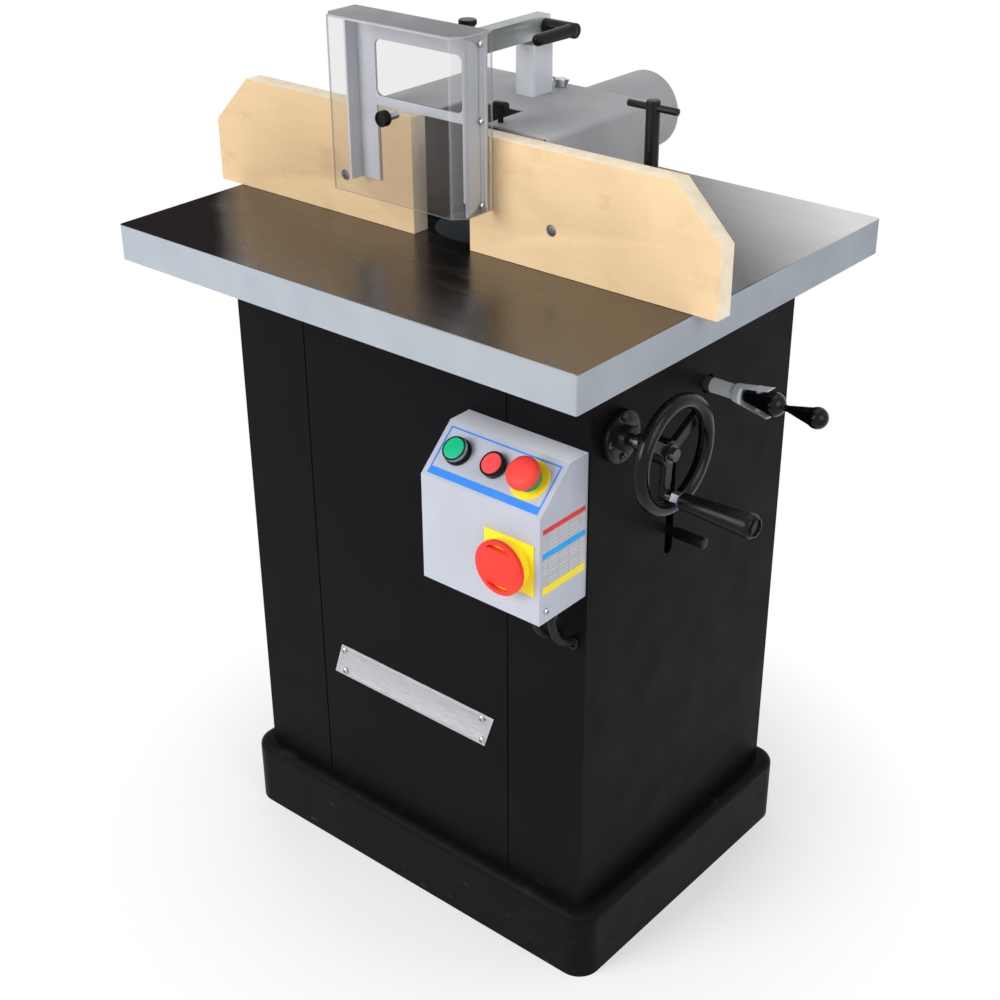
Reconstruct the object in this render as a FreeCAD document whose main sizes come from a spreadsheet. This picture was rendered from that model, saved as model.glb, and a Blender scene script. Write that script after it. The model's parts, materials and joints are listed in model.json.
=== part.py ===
import FreeCAD, Part
import Sketcher
import os
import re

# Driving sizes, in millimetres and degrees. The frame stands at the middle of the plinth's underside,
# with +X to the operator's right, +Y to the back and +Z up.
sizes = {
    # fits shared by every piece
    "overrun": 2.0, "running_gap": 0.05, "slide_gap": 0.3, "quarter": 90.0,
    # plinth
    "plinth_side": 24.5, "plinth_front": 22.5, "plinth_height": 100.0, "plinth_corner": 30.0,
    "plinth_round": 12.0, "plinth_wall": 4.0, "plinth_floor": 6.0, "plinth_lip": 24.0,
    # cabinet
    "cabinet_width": 563.0, "cabinet_depth": 415.0, "cabinet_wall": 3.0, "seam_offset": 163.0,
    "seam_width": 2.4, "seam_depth": 1.2, "flange_width": 14.0,
    "slot_width": 16.0, "slot_low": 549.0, "slot_high": 692.0,
    # rear door, its hinges and latch
    "door_top": 700.0, "door_gap": 2.0, "hinge_radius": 5.0, "hinge_pin": 2.5, "hinge_length": 36.0,
    "hinge_leaf": 2.0, "hinge_inset": 2.0, "leaf_width": 24.0, "hinge_low": 190.0, "hinge_high": 560.0,
    "vent_length": 200.0, "vent_height": 7.0, "vent_low": 220.0, "vent_pitch": 22.0,
    "vent_count": 6,
    "latch_inset": 25.0, "latch_height": 400.0, "latch_shaft": 5.0, "latch_knob": 14.0,
    "latch_depth": 6.0, "latch_grip": 12.0, "latch_grip_thick": 6.0, "cam_reach": 34.0,
    "cam_width": 14.0, "cam_thick": 4.0,
    # table
    "table_width": 700.0, "table_depth": 600.0, "table_thick": 45.0, "table_top": 900.0,
    "table_shift": -24.0, "table_corner": 2.5, "table_edge": 1.0, "hole_radius": 64.0,
    "pocket_depth": 27.0, "pocket_rib": 14.0, "pocket_rim": 18.0, "pocket_columns": 6, "pocket_rows": 5,
    # name plate
    "plate_width": 267.0, "plate_height": 49.0, "plate_slant": 16.0, "plate_thick": 2.0,
    "plate_low": 279.0, "plate_screw_inset": 12.0, "plate_screw_rise": 8.0,
    # round-head screws
    "screw_head": 4.5, "screw_head_thick": 2.6, "screw_shank": 2.5, "screw_length": 9.0,
    "screw_soft_share": 0.6,
    # control box
    "box_side_gap": 2.5, "box_wide": 172.0, "box_low": 564.0, "box_high": 747.0, "box_deep": 84.0,
    "slant_run": 51.5, "slant_drop": 48.5, "box_wall": 2.0, "box_screw_rise": 14.0,
    "box_screw_inset": 12.0,
    # buttons on the sloping face
    "button_down": 33.0, "start_inset": 33.5, "stop_inset": 86.0, "estop_inset": 136.0,
    "start_cap": 13.0, "start_bezel": 15.0, "start_bezel_thick": 13.0, "start_out": 13.6, "stop_cap": 12.5,
    "stop_bezel": 15.0, "stop_bezel_thick": 9.0, "stop_out": 9.6, "button_deep": 14.0, "estop_stem": 8.0,
    "estop_collar": 15.0, "estop_collar_thick": 8.0, "estop_head": 20.0, "estop_low": 14.0,
    "estop_thick": 12.0, "estop_round": 5.0, "disc_radius": 24.0, "disc_thick": 1.6,
    # main switch
    "switch_inset": 129.5, "switch_z": 632.0, "switch_plate_width": 70.0, "switch_plate_height": 64.0,
    "switch_plate_thick": 2.0, "switch_shaft": 5.0, "switch_boss": 30.0, "switch_boss_thick": 12.0,
    "switch_knob": 33.0, "switch_thick": 6.0, "switch_rim": 5.0, "switch_bar_width": 44.0,
    # cable glands and the cables into the cabinet front
    "gland_radius": 9.0, "gland_length": 16.0, "gland_nut": 11.0, "gland_nut_thick": 6.0,
    "gland_stand": 44.0, "gland_first": 131.0, "gland_second": 156.0, "cable_radius": 5.0,
    "cable_drop": 10.0, "cable_tail": 20.0,
    # spindle, quill and bearings
    "spindle_y": -47.0, "spindle_radius": 15.0, "spindle_low": 425.0, "spindle_high": 886.0,
    "quill_radius": 50.0, "quill_bore": 36.0, "quill_foot": 64.0, "quill_foot_thick": 12.0,
    "quill_height": 220.0, "quill_lip": 5.0, "quill_lip_gap": 4.0, "bearing_thick": 22.0,
    "bearing_rise": 6.0, "shoulder_radius": 25.0, "shoulder_rise": 10.0, "shoulder_thick": 8.0,
    "collar_radius": 24.0, "collar_thick": 19.0, "nut_radius": 25.0, "nut_thick": 20.0,
    "lock_ring": 28.0, "lock_ring_thick": 24.0, "lock_hole_floor": 17.0,
    "lock_holes": 4, "collar_count": 6, "nut_sides": 6,
    # spindle lock rod
    "lock_z": 581.0, "lock_radius": 6.0, "lock_hole_gap": 0.4, "lock_tip": 32.0, "lock_stand": 52.5,
    "lock_round": 3.0, "lock_grip_length": 42.0, "lock_grip": 7.0,
    # carriage
    "carriage_left": 160.0, "carriage_right": 182.0, "carriage_front": 184.0, "carriage_rear": 15.5,
    "carriage_low": 470.0, "carriage_high": 500.0, "carriage_corner": 20.0, "shaft_gap": 3.0,
    "column_x": 110.0, "column_y": 20.0, "column_radius": 20.0, "column_top": 768.0,
    "block_side": 80.0, "block_low": 700.0, "block_corner": 8.0, "nut_boss": 18.0, "nut_drop": 20.0,
    # motor, pulleys and belt
    "motor_rear": 3.0, "motor_radius": 72.0, "motor_low_cap": 14.0, "motor_height": 210.0,
    "motor_cap": 66.0, "motor_fin": 77.0, "motor_fin_thick": 4.0, "motor_fin_pitch": 13.0,
    "motor_fins": 12,
    "terminal_wide": 32.0, "terminal_deep": 70.0, "terminal_tall": 60.0, "terminal_rise": 70.0,
    "motor_shaft": 12.0, "motor_shaft_top": 560.0, "motor_bore_gap": 1.0,
    "pulley_low": 434.0, "pulley_thick": 28.0, "groove_rise": 5.0, "groove_width": 18.0,
    "groove_depth": 6.0, "spindle_pulley": 40.0, "motor_pulley": 50.0, "belt_thick": 5.0,
    # lead screw and bevel gears
    "lead_x": 150.0, "lead_radius": 8.0, "lead_low": 446.0, "thrust_radius": 14.0, "thrust_thick": 12.0,
    "bevel_radius": 26.0, "bevel_face": 10.0, "bevel_addendum": 1.5, "bevel_dedendum": 2.1,
    "bevel_teeth": 18, "bevel_hub": 15.0, "tooth_tip": 0.75, "tooth_pitch": 1.5, "tooth_root": 2.1,
    "tooth_embed_share": 0.9,
    "bracket_wide": 58.0, "bracket_left": 34.0, "bracket_thick": 16.0, "bracket_gap": 34.0,
    "bracket_wall_gap": 40.0, "bracket_foot": 60.0, "bracket_foot_thick": 12.0,
    # handwheel
    "wheel_inset": 50.0, "wheel_z": 750.0, "wheel_stand": 75.5, "rim_radius": 61.3, "rim_tube": 8.8,
    "hub_radius": 15.0, "hub_stand": 48.5, "hub_length": 22.0, "spoke_width": 14.0, "spoke_thick": 8.0,
    "spoke_inset": 9.0, "spoke_count": 3, "spoke_first_angle": 26.0, "shaft_radius": 7.0,
    "shaft_collar": 10.0, "shaft_collar_stand": 26.5, "shaft_collar_thick": 10.0, "wheel_washer": 11.0,
    "wheel_washer_thick": 2.0, "wheel_bolt": 7.5, "wheel_bolt_thick": 6.0,
    "flange_radius": 31.0, "flange_thick": 8.0, "flange_boss": 15.0, "flange_out": 18.0,
    "flange_bolt_circle": 24.5, "flange_bolts": 4, "flange_first_angle": 0.0, "panel_hole": 12.0,
    "grip_radius_out": 50.0, "grip_angle": -94.0, "stub_radius": 7.0, "stub_stand": 90.5,
    "grip_pin": 4.0, "grip_low_radius": 10.0, "grip_high_radius": 14.0, "grip_length": 93.0,
    "grip_round": 5.0,
    # height lock
    "hold_y": 20.0, "hold_z": 750.0, "hold_radius": 9.0, "hold_fork_stand": 38.5, "hold_fork_length": 48.0,
    "hold_fork_root": 11.0, "hold_fork_tip": 19.0, "hold_fork_width": 28.0, "hold_gap_root": 10.0,
    "hold_gap_tip": 16.5, "hold_gap_stand": 49.5, "hold_pin_stand": 70.5, "hold_pin": 4.0,
    "tail_radius": 7.5, "tail_stand": 51.5, "swell_radius": 13.0, "swell_stand": 84.5, "knuckle_stand": 90.5,
    "knuckle_radius": 14.5, "neck_radius": 4.0, "neck_stand": 109.5, "pear_radius": 11.5,
    "pear_stand": 143.5, "knob_stand": 147.5, "knob_radius": 13.0,
    # fence hood and dust pipe
    "hood_half": 134.0, "hood_back": 103.0, "hood_top": 1043.5, "hood_wall": 3.0,
    "hood_bend": 8.0, "hood_cut_half": 42.0, "hood_cut_back": -28.0, "hood_lip_inner": 60.0,
    "hood_lip_drop": 14.0, "hood_flange_out": 232.0, "hood_flange_high": 1034.0, "foot_out": 250.0,
    "foot_back": 6.0, "foot_thick": 6.0,
    "pipe_radius": 50.0, "pipe_wall": 3.0, "pipe_z": 974.0, "pipe_end": 275.0, "pipe_ring": 60.0,
    "pipe_ring_thick": 3.0,
    # fence boards, their backing plates and clamps
    "board_back": -102.0, "board_thick": 24.0, "board_top": 1040.0, "board_slope": 60.0,
    "left_inner": 47.5, "left_outer": 386.0, "right_inner": 40.0, "right_outer": 381.0,
    "backing_inner": 50.0, "backing_outer": 322.0, "backing_thick": 3.0, "backing_top": 1034.0,
    "board_screw_x": 159.0, "board_screw_z": 950.0, "board_screw": 4.0, "board_bore": 7.0,
    "board_bore_depth": 8.0, "board_head": 6.0, "board_head_thick": 7.0,
    "stud_x": 180.0, "stud_z": 970.0, "stud_radius": 4.0, "stud_length": 26.0, "stud_inward": 30.0,
    "stud_outward": 20.0, "knob_thick": 15.0, "knob_round": 14.0,
    # T-handle screws
    "tee_x": 224.0, "tee_y": -32.0, "tee_radius": 8.0, "tee_wall": 8.0, "tee_top": 1087.0,
    "tee_sink": 28.0,
    "tee_collar": 17.0, "tee_collar_thick": 6.0, "tee_bar": 4.0, "tee_bar_length": 65.0,
    "tee_bar_drop": 8.0, "tee_round": 2.0, "tee_left_angle": 130.0, "tee_slot_travel": 30.0,
    "tee_slot_gap": 1.0,
    # guard post, arm and clamp lever
    "post_y": 40.0, "post_wide": 30.0, "post_deep": 40.0, "post_top": 1104.0, "post_corner": 6.0,
    "lug_half": 7.2, "lug_radius": 9.0, "pivot_y": 48.0, "pivot_z": 1122.0, "arm_half": 10.0,
    "arm_wall": 2.5, "arm_low": 1109.0, "arm_high": 1134.0, "arm_front": -95.0, "arm_back": 58.0,
    "arm_cheek_front": -57.0, "arm_floor_back": -12.0, "pivot_pin": 4.0, "pivot_head": 8.0,
    "pivot_head_thick": 5.0,
    "lever_hub": 9.0, "lever_hub_end": 56.0, "lever_x": 49.0, "lever_root": 8.0, "lever_tip": 7.0,
    "lever_length": 62.0, "arm_knob_y": -79.0, "arm_knob_stem": 3.0, "arm_knob_radius": 10.5,
    "arm_knob_low": 1138.0, "arm_knob_thick": 12.0,
    # wing nut behind the post
    "wing_x": 9.0, "wing_y": 80.0, "wing_hub": 7.0, "wing_thick": 10.0, "wing_stud": 3.0,
    "wing_stud_rise": 11.0, "wing_span": 13.0, "wing_blade": 3.0, "wing_rise": 11.0,
    # guard frame, shield and their fixings
    "guard_left": -128.0, "guard_right": 74.0, "guard_front": -181.0, "guard_back": -127.0,
    "guard_low": 957.0, "guard_high": 1157.0, "guard_wall": 3.0, "guard_corner": 13.0,
    "guard_left_return": 18.0, "return_back": -137.0, "sheet_right": 70.0, "window_left": -97.0,
    "window_right": 35.0, "window_low": 1059.0, "window_high": 1124.0, "window_corner": 8.0,
    "lip_low": 1048.0, "bar_thick": 6.0, "bar_back": 25.0, "half_corner": 22.5, "shield_wall": 3.0,
    "shield_left": -118.0, "shield_screw_y": -146.0, "shield_screw_low": 967.0, "shield_screw_mid": 1062.0,
    "shield_screw_high": 1146.0, "shield_screw": 2.0, "shield_screw_head": 4.0,
    "shield_screw_thick": 2.2, "pull_x": -30.0, "pull_z": 1056.0, "pull_stem": 2.5, "pull_knob": 9.0,
    "pull_thick": 10.0, "pull_sleeve": 4.5, "pull_sleeve_length": 13.0,
}

# Sizes and places that follow the cabinet's walls.
follows = {
    "plinth_width": "cabinet_width + 2 * plinth_side",
    "plinth_depth": "cabinet_depth + 2 * plinth_front",
    "box_left": "cabinet_width / 2 - box_side_gap - box_wide",
    "start_x": "box_left + start_inset",
    "stop_x": "box_left + stop_inset",
    "estop_x": "box_left + estop_inset",
    "switch_x": "box_left + switch_inset",
    "gland_first_x": "box_left + gland_first",
    "gland_second_x": "box_left + gland_second",
    "lock_end": "cabinet_width / 2 + lock_stand",
    "carriage_back": "cabinet_depth / 2 - carriage_rear",
    "motor_y": "cabinet_depth / 2 - cabinet_wall - motor_rear - motor_fin",
    "wheel_x": "cabinet_width / 2 + wheel_stand",
    "wheel_y": "wheel_inset - cabinet_depth / 2",
    "hub_low": "cabinet_width / 2 + hub_stand",
    "hub_high": "hub_low + hub_length",
    "shaft_collar_low": "cabinet_width / 2 + shaft_collar_stand",
    "stub_high": "cabinet_width / 2 + stub_stand",
    "hold_fork_low": "cabinet_width / 2 + hold_fork_stand",
    "hold_fork_high": "hold_fork_low + hold_fork_length",
    "hold_gap_low": "cabinet_width / 2 + hold_gap_stand",
    "hold_pin_x": "cabinet_width / 2 + hold_pin_stand",
    "tail_low": "cabinet_width / 2 + tail_stand",
    "swell_x": "cabinet_width / 2 + swell_stand",
    "knuckle_x": "cabinet_width / 2 + knuckle_stand",
    "neck_high": "cabinet_width / 2 + neck_stand",
    "pear_high": "cabinet_width / 2 + pear_stand",
    "knob_x": "cabinet_width / 2 + knob_stand",
}

doc = FreeCAD.newDocument("SpindleMoulder")
sheet = doc.addObject("Spreadsheet::Sheet", "Sizes")
cells = {alias: str(value) for alias, value in sizes.items()}
cells.update({alias: "=" + text for alias, text in follows.items()})
for row, (alias, content) in enumerate(cells.items(), start=1):
    sheet.set(f"A{row}", alias)
    sheet.set(f"B{row}", content)
    sheet.setAlias(f"B{row}", alias)
doc.recompute()

# Ways a piece can lie: its own +Z is turned to the named direction.
turns = {
    "z": FreeCAD.Rotation(),
    "x": FreeCAD.Rotation(FreeCAD.Vector(0, 1, 0), 90),
    "y": FreeCAD.Rotation(FreeCAD.Vector(1, 0, 0), -90),
    "down": FreeCAD.Rotation(FreeCAD.Vector(1, 0, 0), 180),
    "front": FreeCAD.Rotation(FreeCAD.Vector(1, 0, 0), 90),
    "side": FreeCAD.Rotation(FreeCAD.Vector(1, 1, 1), 120),
}
tilt = "atan(slant_drop / slant_run)"
nodes = []


def formula(text):
    return re.sub(r"[a-z_]+", lambda m: f"Sizes.{m[0]}" if m[0] in cells else m[0], str(text))


def measure(text):
    return float(sheet.evalExpression(formula(text)))


def place(piece, at, turn):
    if turn == "slant":
        piece.Placement.Rotation = FreeCAD.Rotation(FreeCAD.Vector(1, 0, 0), 1)
        piece.setExpression("Placement.Rotation.Angle", formula(tilt))
    else:
        piece.Placement.Rotation = turns[turn] if isinstance(turn, str) else turn
    for axis, text in zip("xyz", at):
        piece.setExpression(f"Placement.Base.{axis}", formula(text))
    return piece


def shaped(kind, values, at, turn):
    piece = doc.addObject(kind, kind.split("::")[1])
    for name, text in values.items():
        piece.setExpression(name, formula(text))
    return place(piece, at, turn)


def block(size, at):
    return shaped("Part::Box", dict(zip(("Length", "Width", "Height"), size)), at, "z")


def span(low, high):
    return block([f"({b}) - ({a})" for a, b in zip(low, high)], low)


def rod(radius, length, at, turn="z"):
    return shaped("Part::Cylinder", {"Radius": radius, "Height": length}, at, turn)


def cone(low_radius, high_radius, length, at, turn="z"):
    values = {"Radius1": low_radius, "Radius2": high_radius, "Height": length}
    return shaped("Part::Cone", values, at, turn)


def ball(radius, at):
    return shaped("Part::Sphere", {"Radius": radius}, at, "z")


def fuse(*pieces):
    whole = doc.addObject("Part::MultiFuse", "Fuse")
    whole.Shapes = pieces
    whole.Refine = True
    return whole


def cut(base, *tools):
    rest = doc.addObject("Part::Cut", "Cut")
    rest.Base = base
    rest.Tool = fuse(*tools) if len(tools) > 1 else tools[0]
    return rest


def common(first, second):
    shared = doc.addObject("Part::Common", "Common")
    shared.Base = first
    shared.Tool = second
    return shared


def group(*pieces):
    together = doc.addObject("Part::Compound", "Group")
    together.Links = pieces
    return together


def rounded(base, radius, pick):
    doc.recompute()
    reach = measure(radius)
    box = base.Shape.BoundBox
    soft = doc.addObject("Part::Fillet", "Fillet")
    soft.Base = base
    soft.Edges = [(i, reach, reach) for i, edge in enumerate(base.Shape.Edges, 1) if pick(edge, box)]
    return soft


def near(a, b):
    return abs(a - b) < measure("running_gap")


def upright(edge, box):
    extent = edge.BoundBox
    return near(extent.XLength, 0) and near(extent.YLength, 0)


def along_y(edge, box):
    extent = edge.BoundBox
    return near(extent.XLength, 0) and near(extent.ZLength, 0)


def top_rim(edge, box):
    return near(edge.BoundBox.ZMin, box.ZMax)


def front_rim(edge, box):
    return near(edge.BoundBox.YMax, box.YMin)


def right_rim(edge, box):
    return near(edge.BoundBox.XMin, box.XMax)


def sketched(points, role):
    body = doc.addObject("PartDesign::Body", "Body")
    sketch = body.newObject("Sketcher::SketchObject", "Sketch")
    plane = [f for f in body.Origin.OriginFeatures if f.Role == role][0]
    sketch.AttachmentSupport = [(plane, "")]
    sketch.MapMode = "FlatFace"
    spots = [FreeCAD.Vector(measure(u), measure(v), 0) for u, v in points]
    count = len(points)
    for i in range(count):
        sketch.addGeometry(Part.LineSegment(spots[i], spots[(i + 1) % count]))
    for i in range(count):
        sketch.addConstraint(Sketcher.Constraint("Coincident", i, 2, (i + 1) % count, 1))
    for i, (spot, texts) in enumerate(zip(spots, points)):
        for kind, value, text in zip(("DistanceX", "DistanceY"), spot, texts):
            held = sketch.addConstraint(Sketcher.Constraint(kind, -1, 1, i, 1, value))
            if text != "0":
                sketch.setExpression(f"Constraints[{held}]", formula(text))
    return body, sketch


def prism(points, length, at, turn):
    body, sketch = sketched(points, "XY_Plane")
    pad = body.newObject("PartDesign::Pad", "Pad")
    pad.Profile = sketch
    pad.setExpression("Length", formula(length))
    return place(body, at, turn)


def turned(points, at, turn="z"):
    body, sketch = sketched(points, "XZ_Plane")
    spun = body.newObject("PartDesign::Revolution", "Revolution")
    spun.Profile = sketch
    spun.ReferenceAxis = (sketch, ["V_Axis"])
    spun.Angle = 360
    return place(body, at, turn)


def node(label, piece):
    piece.Label = label
    nodes.append(piece)
    return piece


def around(count, first, radius):
    return [(f"{radius} * cos({first} + {i} * 360 / {count})",
             f"{radius} * sin({first} + {i} * 360 / {count})")
            for i in range(count)]


def between(s, inner, outer):
    return (f"-({outer})", f"-({inner})") if s < 0 else (inner, outer)


under = "(table_top - table_thick)"
side_x = "(cabinet_width / 2)"
front_y = "(-cabinet_depth / 2)"
back_y = "(cabinet_depth / 2)"
sides = {"left": -1, "right": 1}


# Plinth: a closed tray with an inward top lip that the cabinet stands on.
tray = block(("plinth_width", "plinth_depth", "plinth_height"),
             ("-plinth_width / 2", "-plinth_depth / 2", "0"))
tray = rounded(rounded(tray, "plinth_corner", upright), "plinth_round", top_rim)
hollow = rounded(span(("-plinth_width / 2 + plinth_wall", "-plinth_depth / 2 + plinth_wall",
                       "plinth_floor"),
                      ("plinth_width / 2 - plinth_wall", "plinth_depth / 2 - plinth_wall",
                       "plinth_height - plinth_wall")), "plinth_corner - plinth_wall", upright)
hollow = rounded(hollow, "plinth_round - plinth_wall", top_rim)
mouth = span((f"-{side_x} + plinth_lip", f"{front_y} + plinth_lip", "plinth_height / 2"),
             (f"{side_x} - plinth_lip", f"{back_y} - plinth_lip", "plinth_height + overrun"))
node("plinth", cut(tray, hollow, mouth))


# Round-head screws of one kind, and the holes that take them.
def screw(at, turn):
    head = rod("screw_head", "screw_head_thick", at, turn)
    head = rounded(head, "screw_head_thick * screw_soft_share", {"x": right_rim, "front": front_rim}[turn])
    step = {"x": ("-screw_length", "0"), "front": ("0", "screw_length")}[turn]
    shank = rod("screw_shank", "screw_length", (f"{at[0]} + {step[0]}", f"{at[1]} + {step[1]}", at[2]),
                turn)
    return fuse(head, shank)


def screw_hole(at, turn):
    step = {"x": ("-screw_length - overrun", "0"), "front": ("0", "screw_length + overrun")}[turn]
    return rod("screw_shank", "screw_length + 2 * overrun",
               (f"{at[0]} + {step[0]}", f"{at[1]} + {step[1]}", at[2]), turn)


plate_face = f"({front_y} - plate_thick)"
plate_spots = []
for end in (-1, 1):
    low = "plate_low + plate_screw_rise"
    high = "plate_low + plate_height - plate_screw_rise"
    plate_spots.append((f"{end} * (plate_width / 2 - plate_screw_inset)", plate_face, low))
    plate_spots.append((f"{end} * (plate_width / 2 - plate_screw_inset)", plate_face, high))
flange_face = f"({side_x} + flange_thick)"
flange_spots = [(flange_face, f"wheel_y + {u}", f"wheel_z + {v}")
                for u, v in around(sizes["flange_bolts"], "flange_first_angle", "flange_bolt_circle")]
box_face = "(box_left + box_wide)"
box_spots = [(box_face, f"{front_y} - box_deep + box_screw_inset", "box_low + box_screw_rise")]
node("body_screws", group(*[screw(at, "front") for at in plate_spots],
                          *[screw(at, "x") for at in flange_spots + box_spots]))


# Cabinet: four plain sheet walls on the plinth, up to the table's underside.
tall = f"{under} - plinth_height"
gland_spots = ["gland_first_x", "gland_second_x"]
cable_z = "(box_low - gland_length - cable_drop - gland_stand)"
wall = block(("cabinet_width", "cabinet_wall", tall), (f"-{side_x}", front_y, "plinth_height"))
seams = [block(("seam_width", "seam_depth + overrun", tall),
               (f"{s} * seam_offset - seam_width / 2", f"{front_y} - overrun", "plinth_height"))
         for s in (-1, 1)]
ways = [rod("cable_radius + slide_gap", "cabinet_wall + 2 * overrun",
            (x, f"{front_y} - overrun", cable_z), "y") for x in gland_spots]
node("cabinet_front", cut(wall, *seams, *ways, *[screw_hole(at, "front") for at in plate_spots]))

hinge_x = f"(-{side_x} + flange_width + door_gap + hinge_inset)"
hinge_y = f"({back_y} + hinge_radius + slide_gap)"
hinge_lows = ("hinge_low", "hinge_high")


def side_wall(s):
    edge = f"{s} * {side_x}"
    plate = span((edge if s < 0 else f"{edge} - cabinet_wall", f"{front_y} + cabinet_wall",
                  "plinth_height"),
                 (f"{edge} + cabinet_wall" if s < 0 else edge, back_y, under))
    flange = span((edge if s < 0 else f"{edge} - flange_width", f"{back_y} - cabinet_wall",
                   "plinth_height"),
                  (f"{edge} + flange_width" if s < 0 else edge, back_y, under))
    return [plate, flange]


knuckles = []
for low in hinge_lows:
    knuckles.append(span((f"{hinge_x} - leaf_width", back_y, low),
                         (hinge_x, f"{back_y} + hinge_leaf", f"{low} + hinge_length")))
    knuckles.append(rod("hinge_radius", "hinge_length", (hinge_x, hinge_y, low)))
    knuckles.append(rod("hinge_pin", "2 * hinge_length", (hinge_x, hinge_y, low)))
node("cabinet_left", fuse(*side_wall(-1), *knuckles))

deep = "cabinet_wall + 2 * overrun"
inner = f"{side_x} - cabinet_wall - overrun"
slot = fuse(span((inner, "spindle_y - slot_width / 2", "slot_low + slot_width / 2"),
                 (f"{side_x} + overrun", "spindle_y + slot_width / 2", "slot_high - slot_width / 2")),
            rod("slot_width / 2", deep, (inner, "spindle_y", "slot_low + slot_width / 2"), "x"),
            rod("slot_width / 2", deep, (inner, "spindle_y", "slot_high - slot_width / 2"), "x"))
node("cabinet_right", cut(fuse(*side_wall(1)), slot,
                          rod("panel_hole", deep, (inner, "wheel_y", "wheel_z"), "x"),
                          rod("panel_hole", deep, (inner, "hold_y", "hold_z"), "x"),
                          *[screw_hole(at, "x") for at in flange_spots]))
node("rear_panel", span((f"-{side_x} + flange_width", f"{back_y} - cabinet_wall", "door_top"),
                        (f"{side_x} - flange_width", back_y, under)))

# Rear service door on two lift-off hinges, with vent slots and a quarter-turn latch.
latch_x = f"({side_x} - flange_width - door_gap - latch_inset)"
leaf = span((f"-{side_x} + flange_width + door_gap", f"{back_y} - cabinet_wall",
             "plinth_height + door_gap"),
            (f"{side_x} - flange_width - door_gap", back_y, "door_top - door_gap"))
carried = [leaf]
for low in hinge_lows:
    rise = f"({low} + hinge_length + slide_gap)"
    carried.append(span((hinge_x, back_y, rise),
                        (f"{hinge_x} + leaf_width", f"{back_y} + hinge_leaf", f"{rise} + hinge_length")))
    carried.append(rod("hinge_radius", "hinge_length", (hinge_x, hinge_y, rise)))
bores = [rod("hinge_pin + running_gap", "hinge_length + 2 * overrun",
             (hinge_x, hinge_y, f"{low} + hinge_length + slide_gap - overrun")) for low in hinge_lows]
vents = [block(("vent_length", "cabinet_wall + 2 * overrun", "vent_height"),
               ("-vent_length / 2", f"{back_y} - cabinet_wall - overrun", f"vent_low + {i} * vent_pitch"))
         for i in range(sizes["vent_count"])]
bores.append(rod("latch_shaft + running_gap", "cabinet_wall + 2 * overrun",
                 (latch_x, f"{back_y} - cabinet_wall - overrun", "latch_height"), "y"))
node("rear_door", cut(fuse(*carried), *bores, *vents))
cam_back = f"({back_y} - cabinet_wall - slide_gap)"
node("door_latch", fuse(
    rod("latch_shaft", "cabinet_wall + 2 * slide_gap + cam_thick",
        (latch_x, f"{cam_back} - cam_thick", "latch_height"), "y"),
    rod("latch_knob", "latch_depth", (latch_x, f"{back_y} + slide_gap", "latch_height"), "y"),
    span((f"{latch_x} - latch_grip_thick / 2", f"{back_y} + slide_gap", "latch_height - latch_knob"),
         (f"{latch_x} + latch_grip_thick / 2", f"{back_y} + latch_depth + latch_grip",
          "latch_height + latch_knob")),
    span((f"{latch_x} - cam_width / 2", f"{cam_back} - cam_thick", "latch_height - cam_reach"),
         (f"{latch_x} + cam_width / 2", cam_back, "latch_height + cam_width / 2"))))


# Cast table with the spindle hole, two tapped holes for the fence and a ribbed underside.
table_front = "(table_shift - table_depth / 2)"
slab = block(("table_width", "table_depth", "table_thick"), ("-table_width / 2", table_front, under))
slab = rounded(rounded(slab, "table_corner", upright), "table_edge", top_rim)
taken = [rod("hole_radius", "table_thick + 2 * overrun", ("0", "spindle_y", f"{under} - overrun"))]
taken += [rod("tee_radius + running_gap", "tee_sink + 2 * overrun",
              (f"{s} * tee_x", "tee_y", "table_top - tee_sink - overrun")) for s in sides.values()]
pads = [rod("tee_radius + tee_wall", "pocket_depth + 2 * overrun",
            (f"{s} * tee_x", "tee_y", f"{under} - overrun")) for s in sides.values()]
pockets = []
columns, rows = sizes["pocket_columns"], sizes["pocket_rows"]
cell_wide = "((table_width - 2 * pocket_rim) / pocket_columns)"
cell_long = "((table_depth - 2 * pocket_rim) / pocket_rows)"
for i in range(columns):
    for j in range(rows):
        if 0 < i < columns - 1 and 0 < j < rows - 1:
            continue
        pockets.append(block((f"{cell_wide} - pocket_rib", f"{cell_long} - pocket_rib",
                              "pocket_depth + overrun"),
                             (f"pocket_rim + pocket_rib / 2 - table_width / 2 + {i} * {cell_wide}",
                              f"pocket_rim + pocket_rib / 2 + {table_front} + {j} * {cell_long}",
                              f"{under} - overrun")))
node("table", cut(slab, *taken, cut(fuse(*pockets), *pads)))


# Blank name plate with slanted ends.
half = "plate_width / 2"
lean = "plate_slant / 2"
plate = prism([(f"-{half} - {lean}", "0"), (f"{half} - {lean}", "0"), (f"{half} + {lean}", "plate_height"),
               (f"-{half} + {lean}", "plate_height")], "plate_thick", ("0", front_y, "plate_low"), "front")
node("name_plate", cut(plate, *[screw_hole(at, "front") for at in plate_spots]))


# Control box: a folded housing with a sloping upper face, open towards the cabinet front.
def slope(x, down, out):
    y = f"({front_y} - box_deep + slant_run - ({down}) * cos({tilt}) - ({out}) * sin({tilt}))"
    z = f"(box_high - ({down}) * sin({tilt}) + ({out}) * cos({tilt}))"
    return x, y, z


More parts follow.
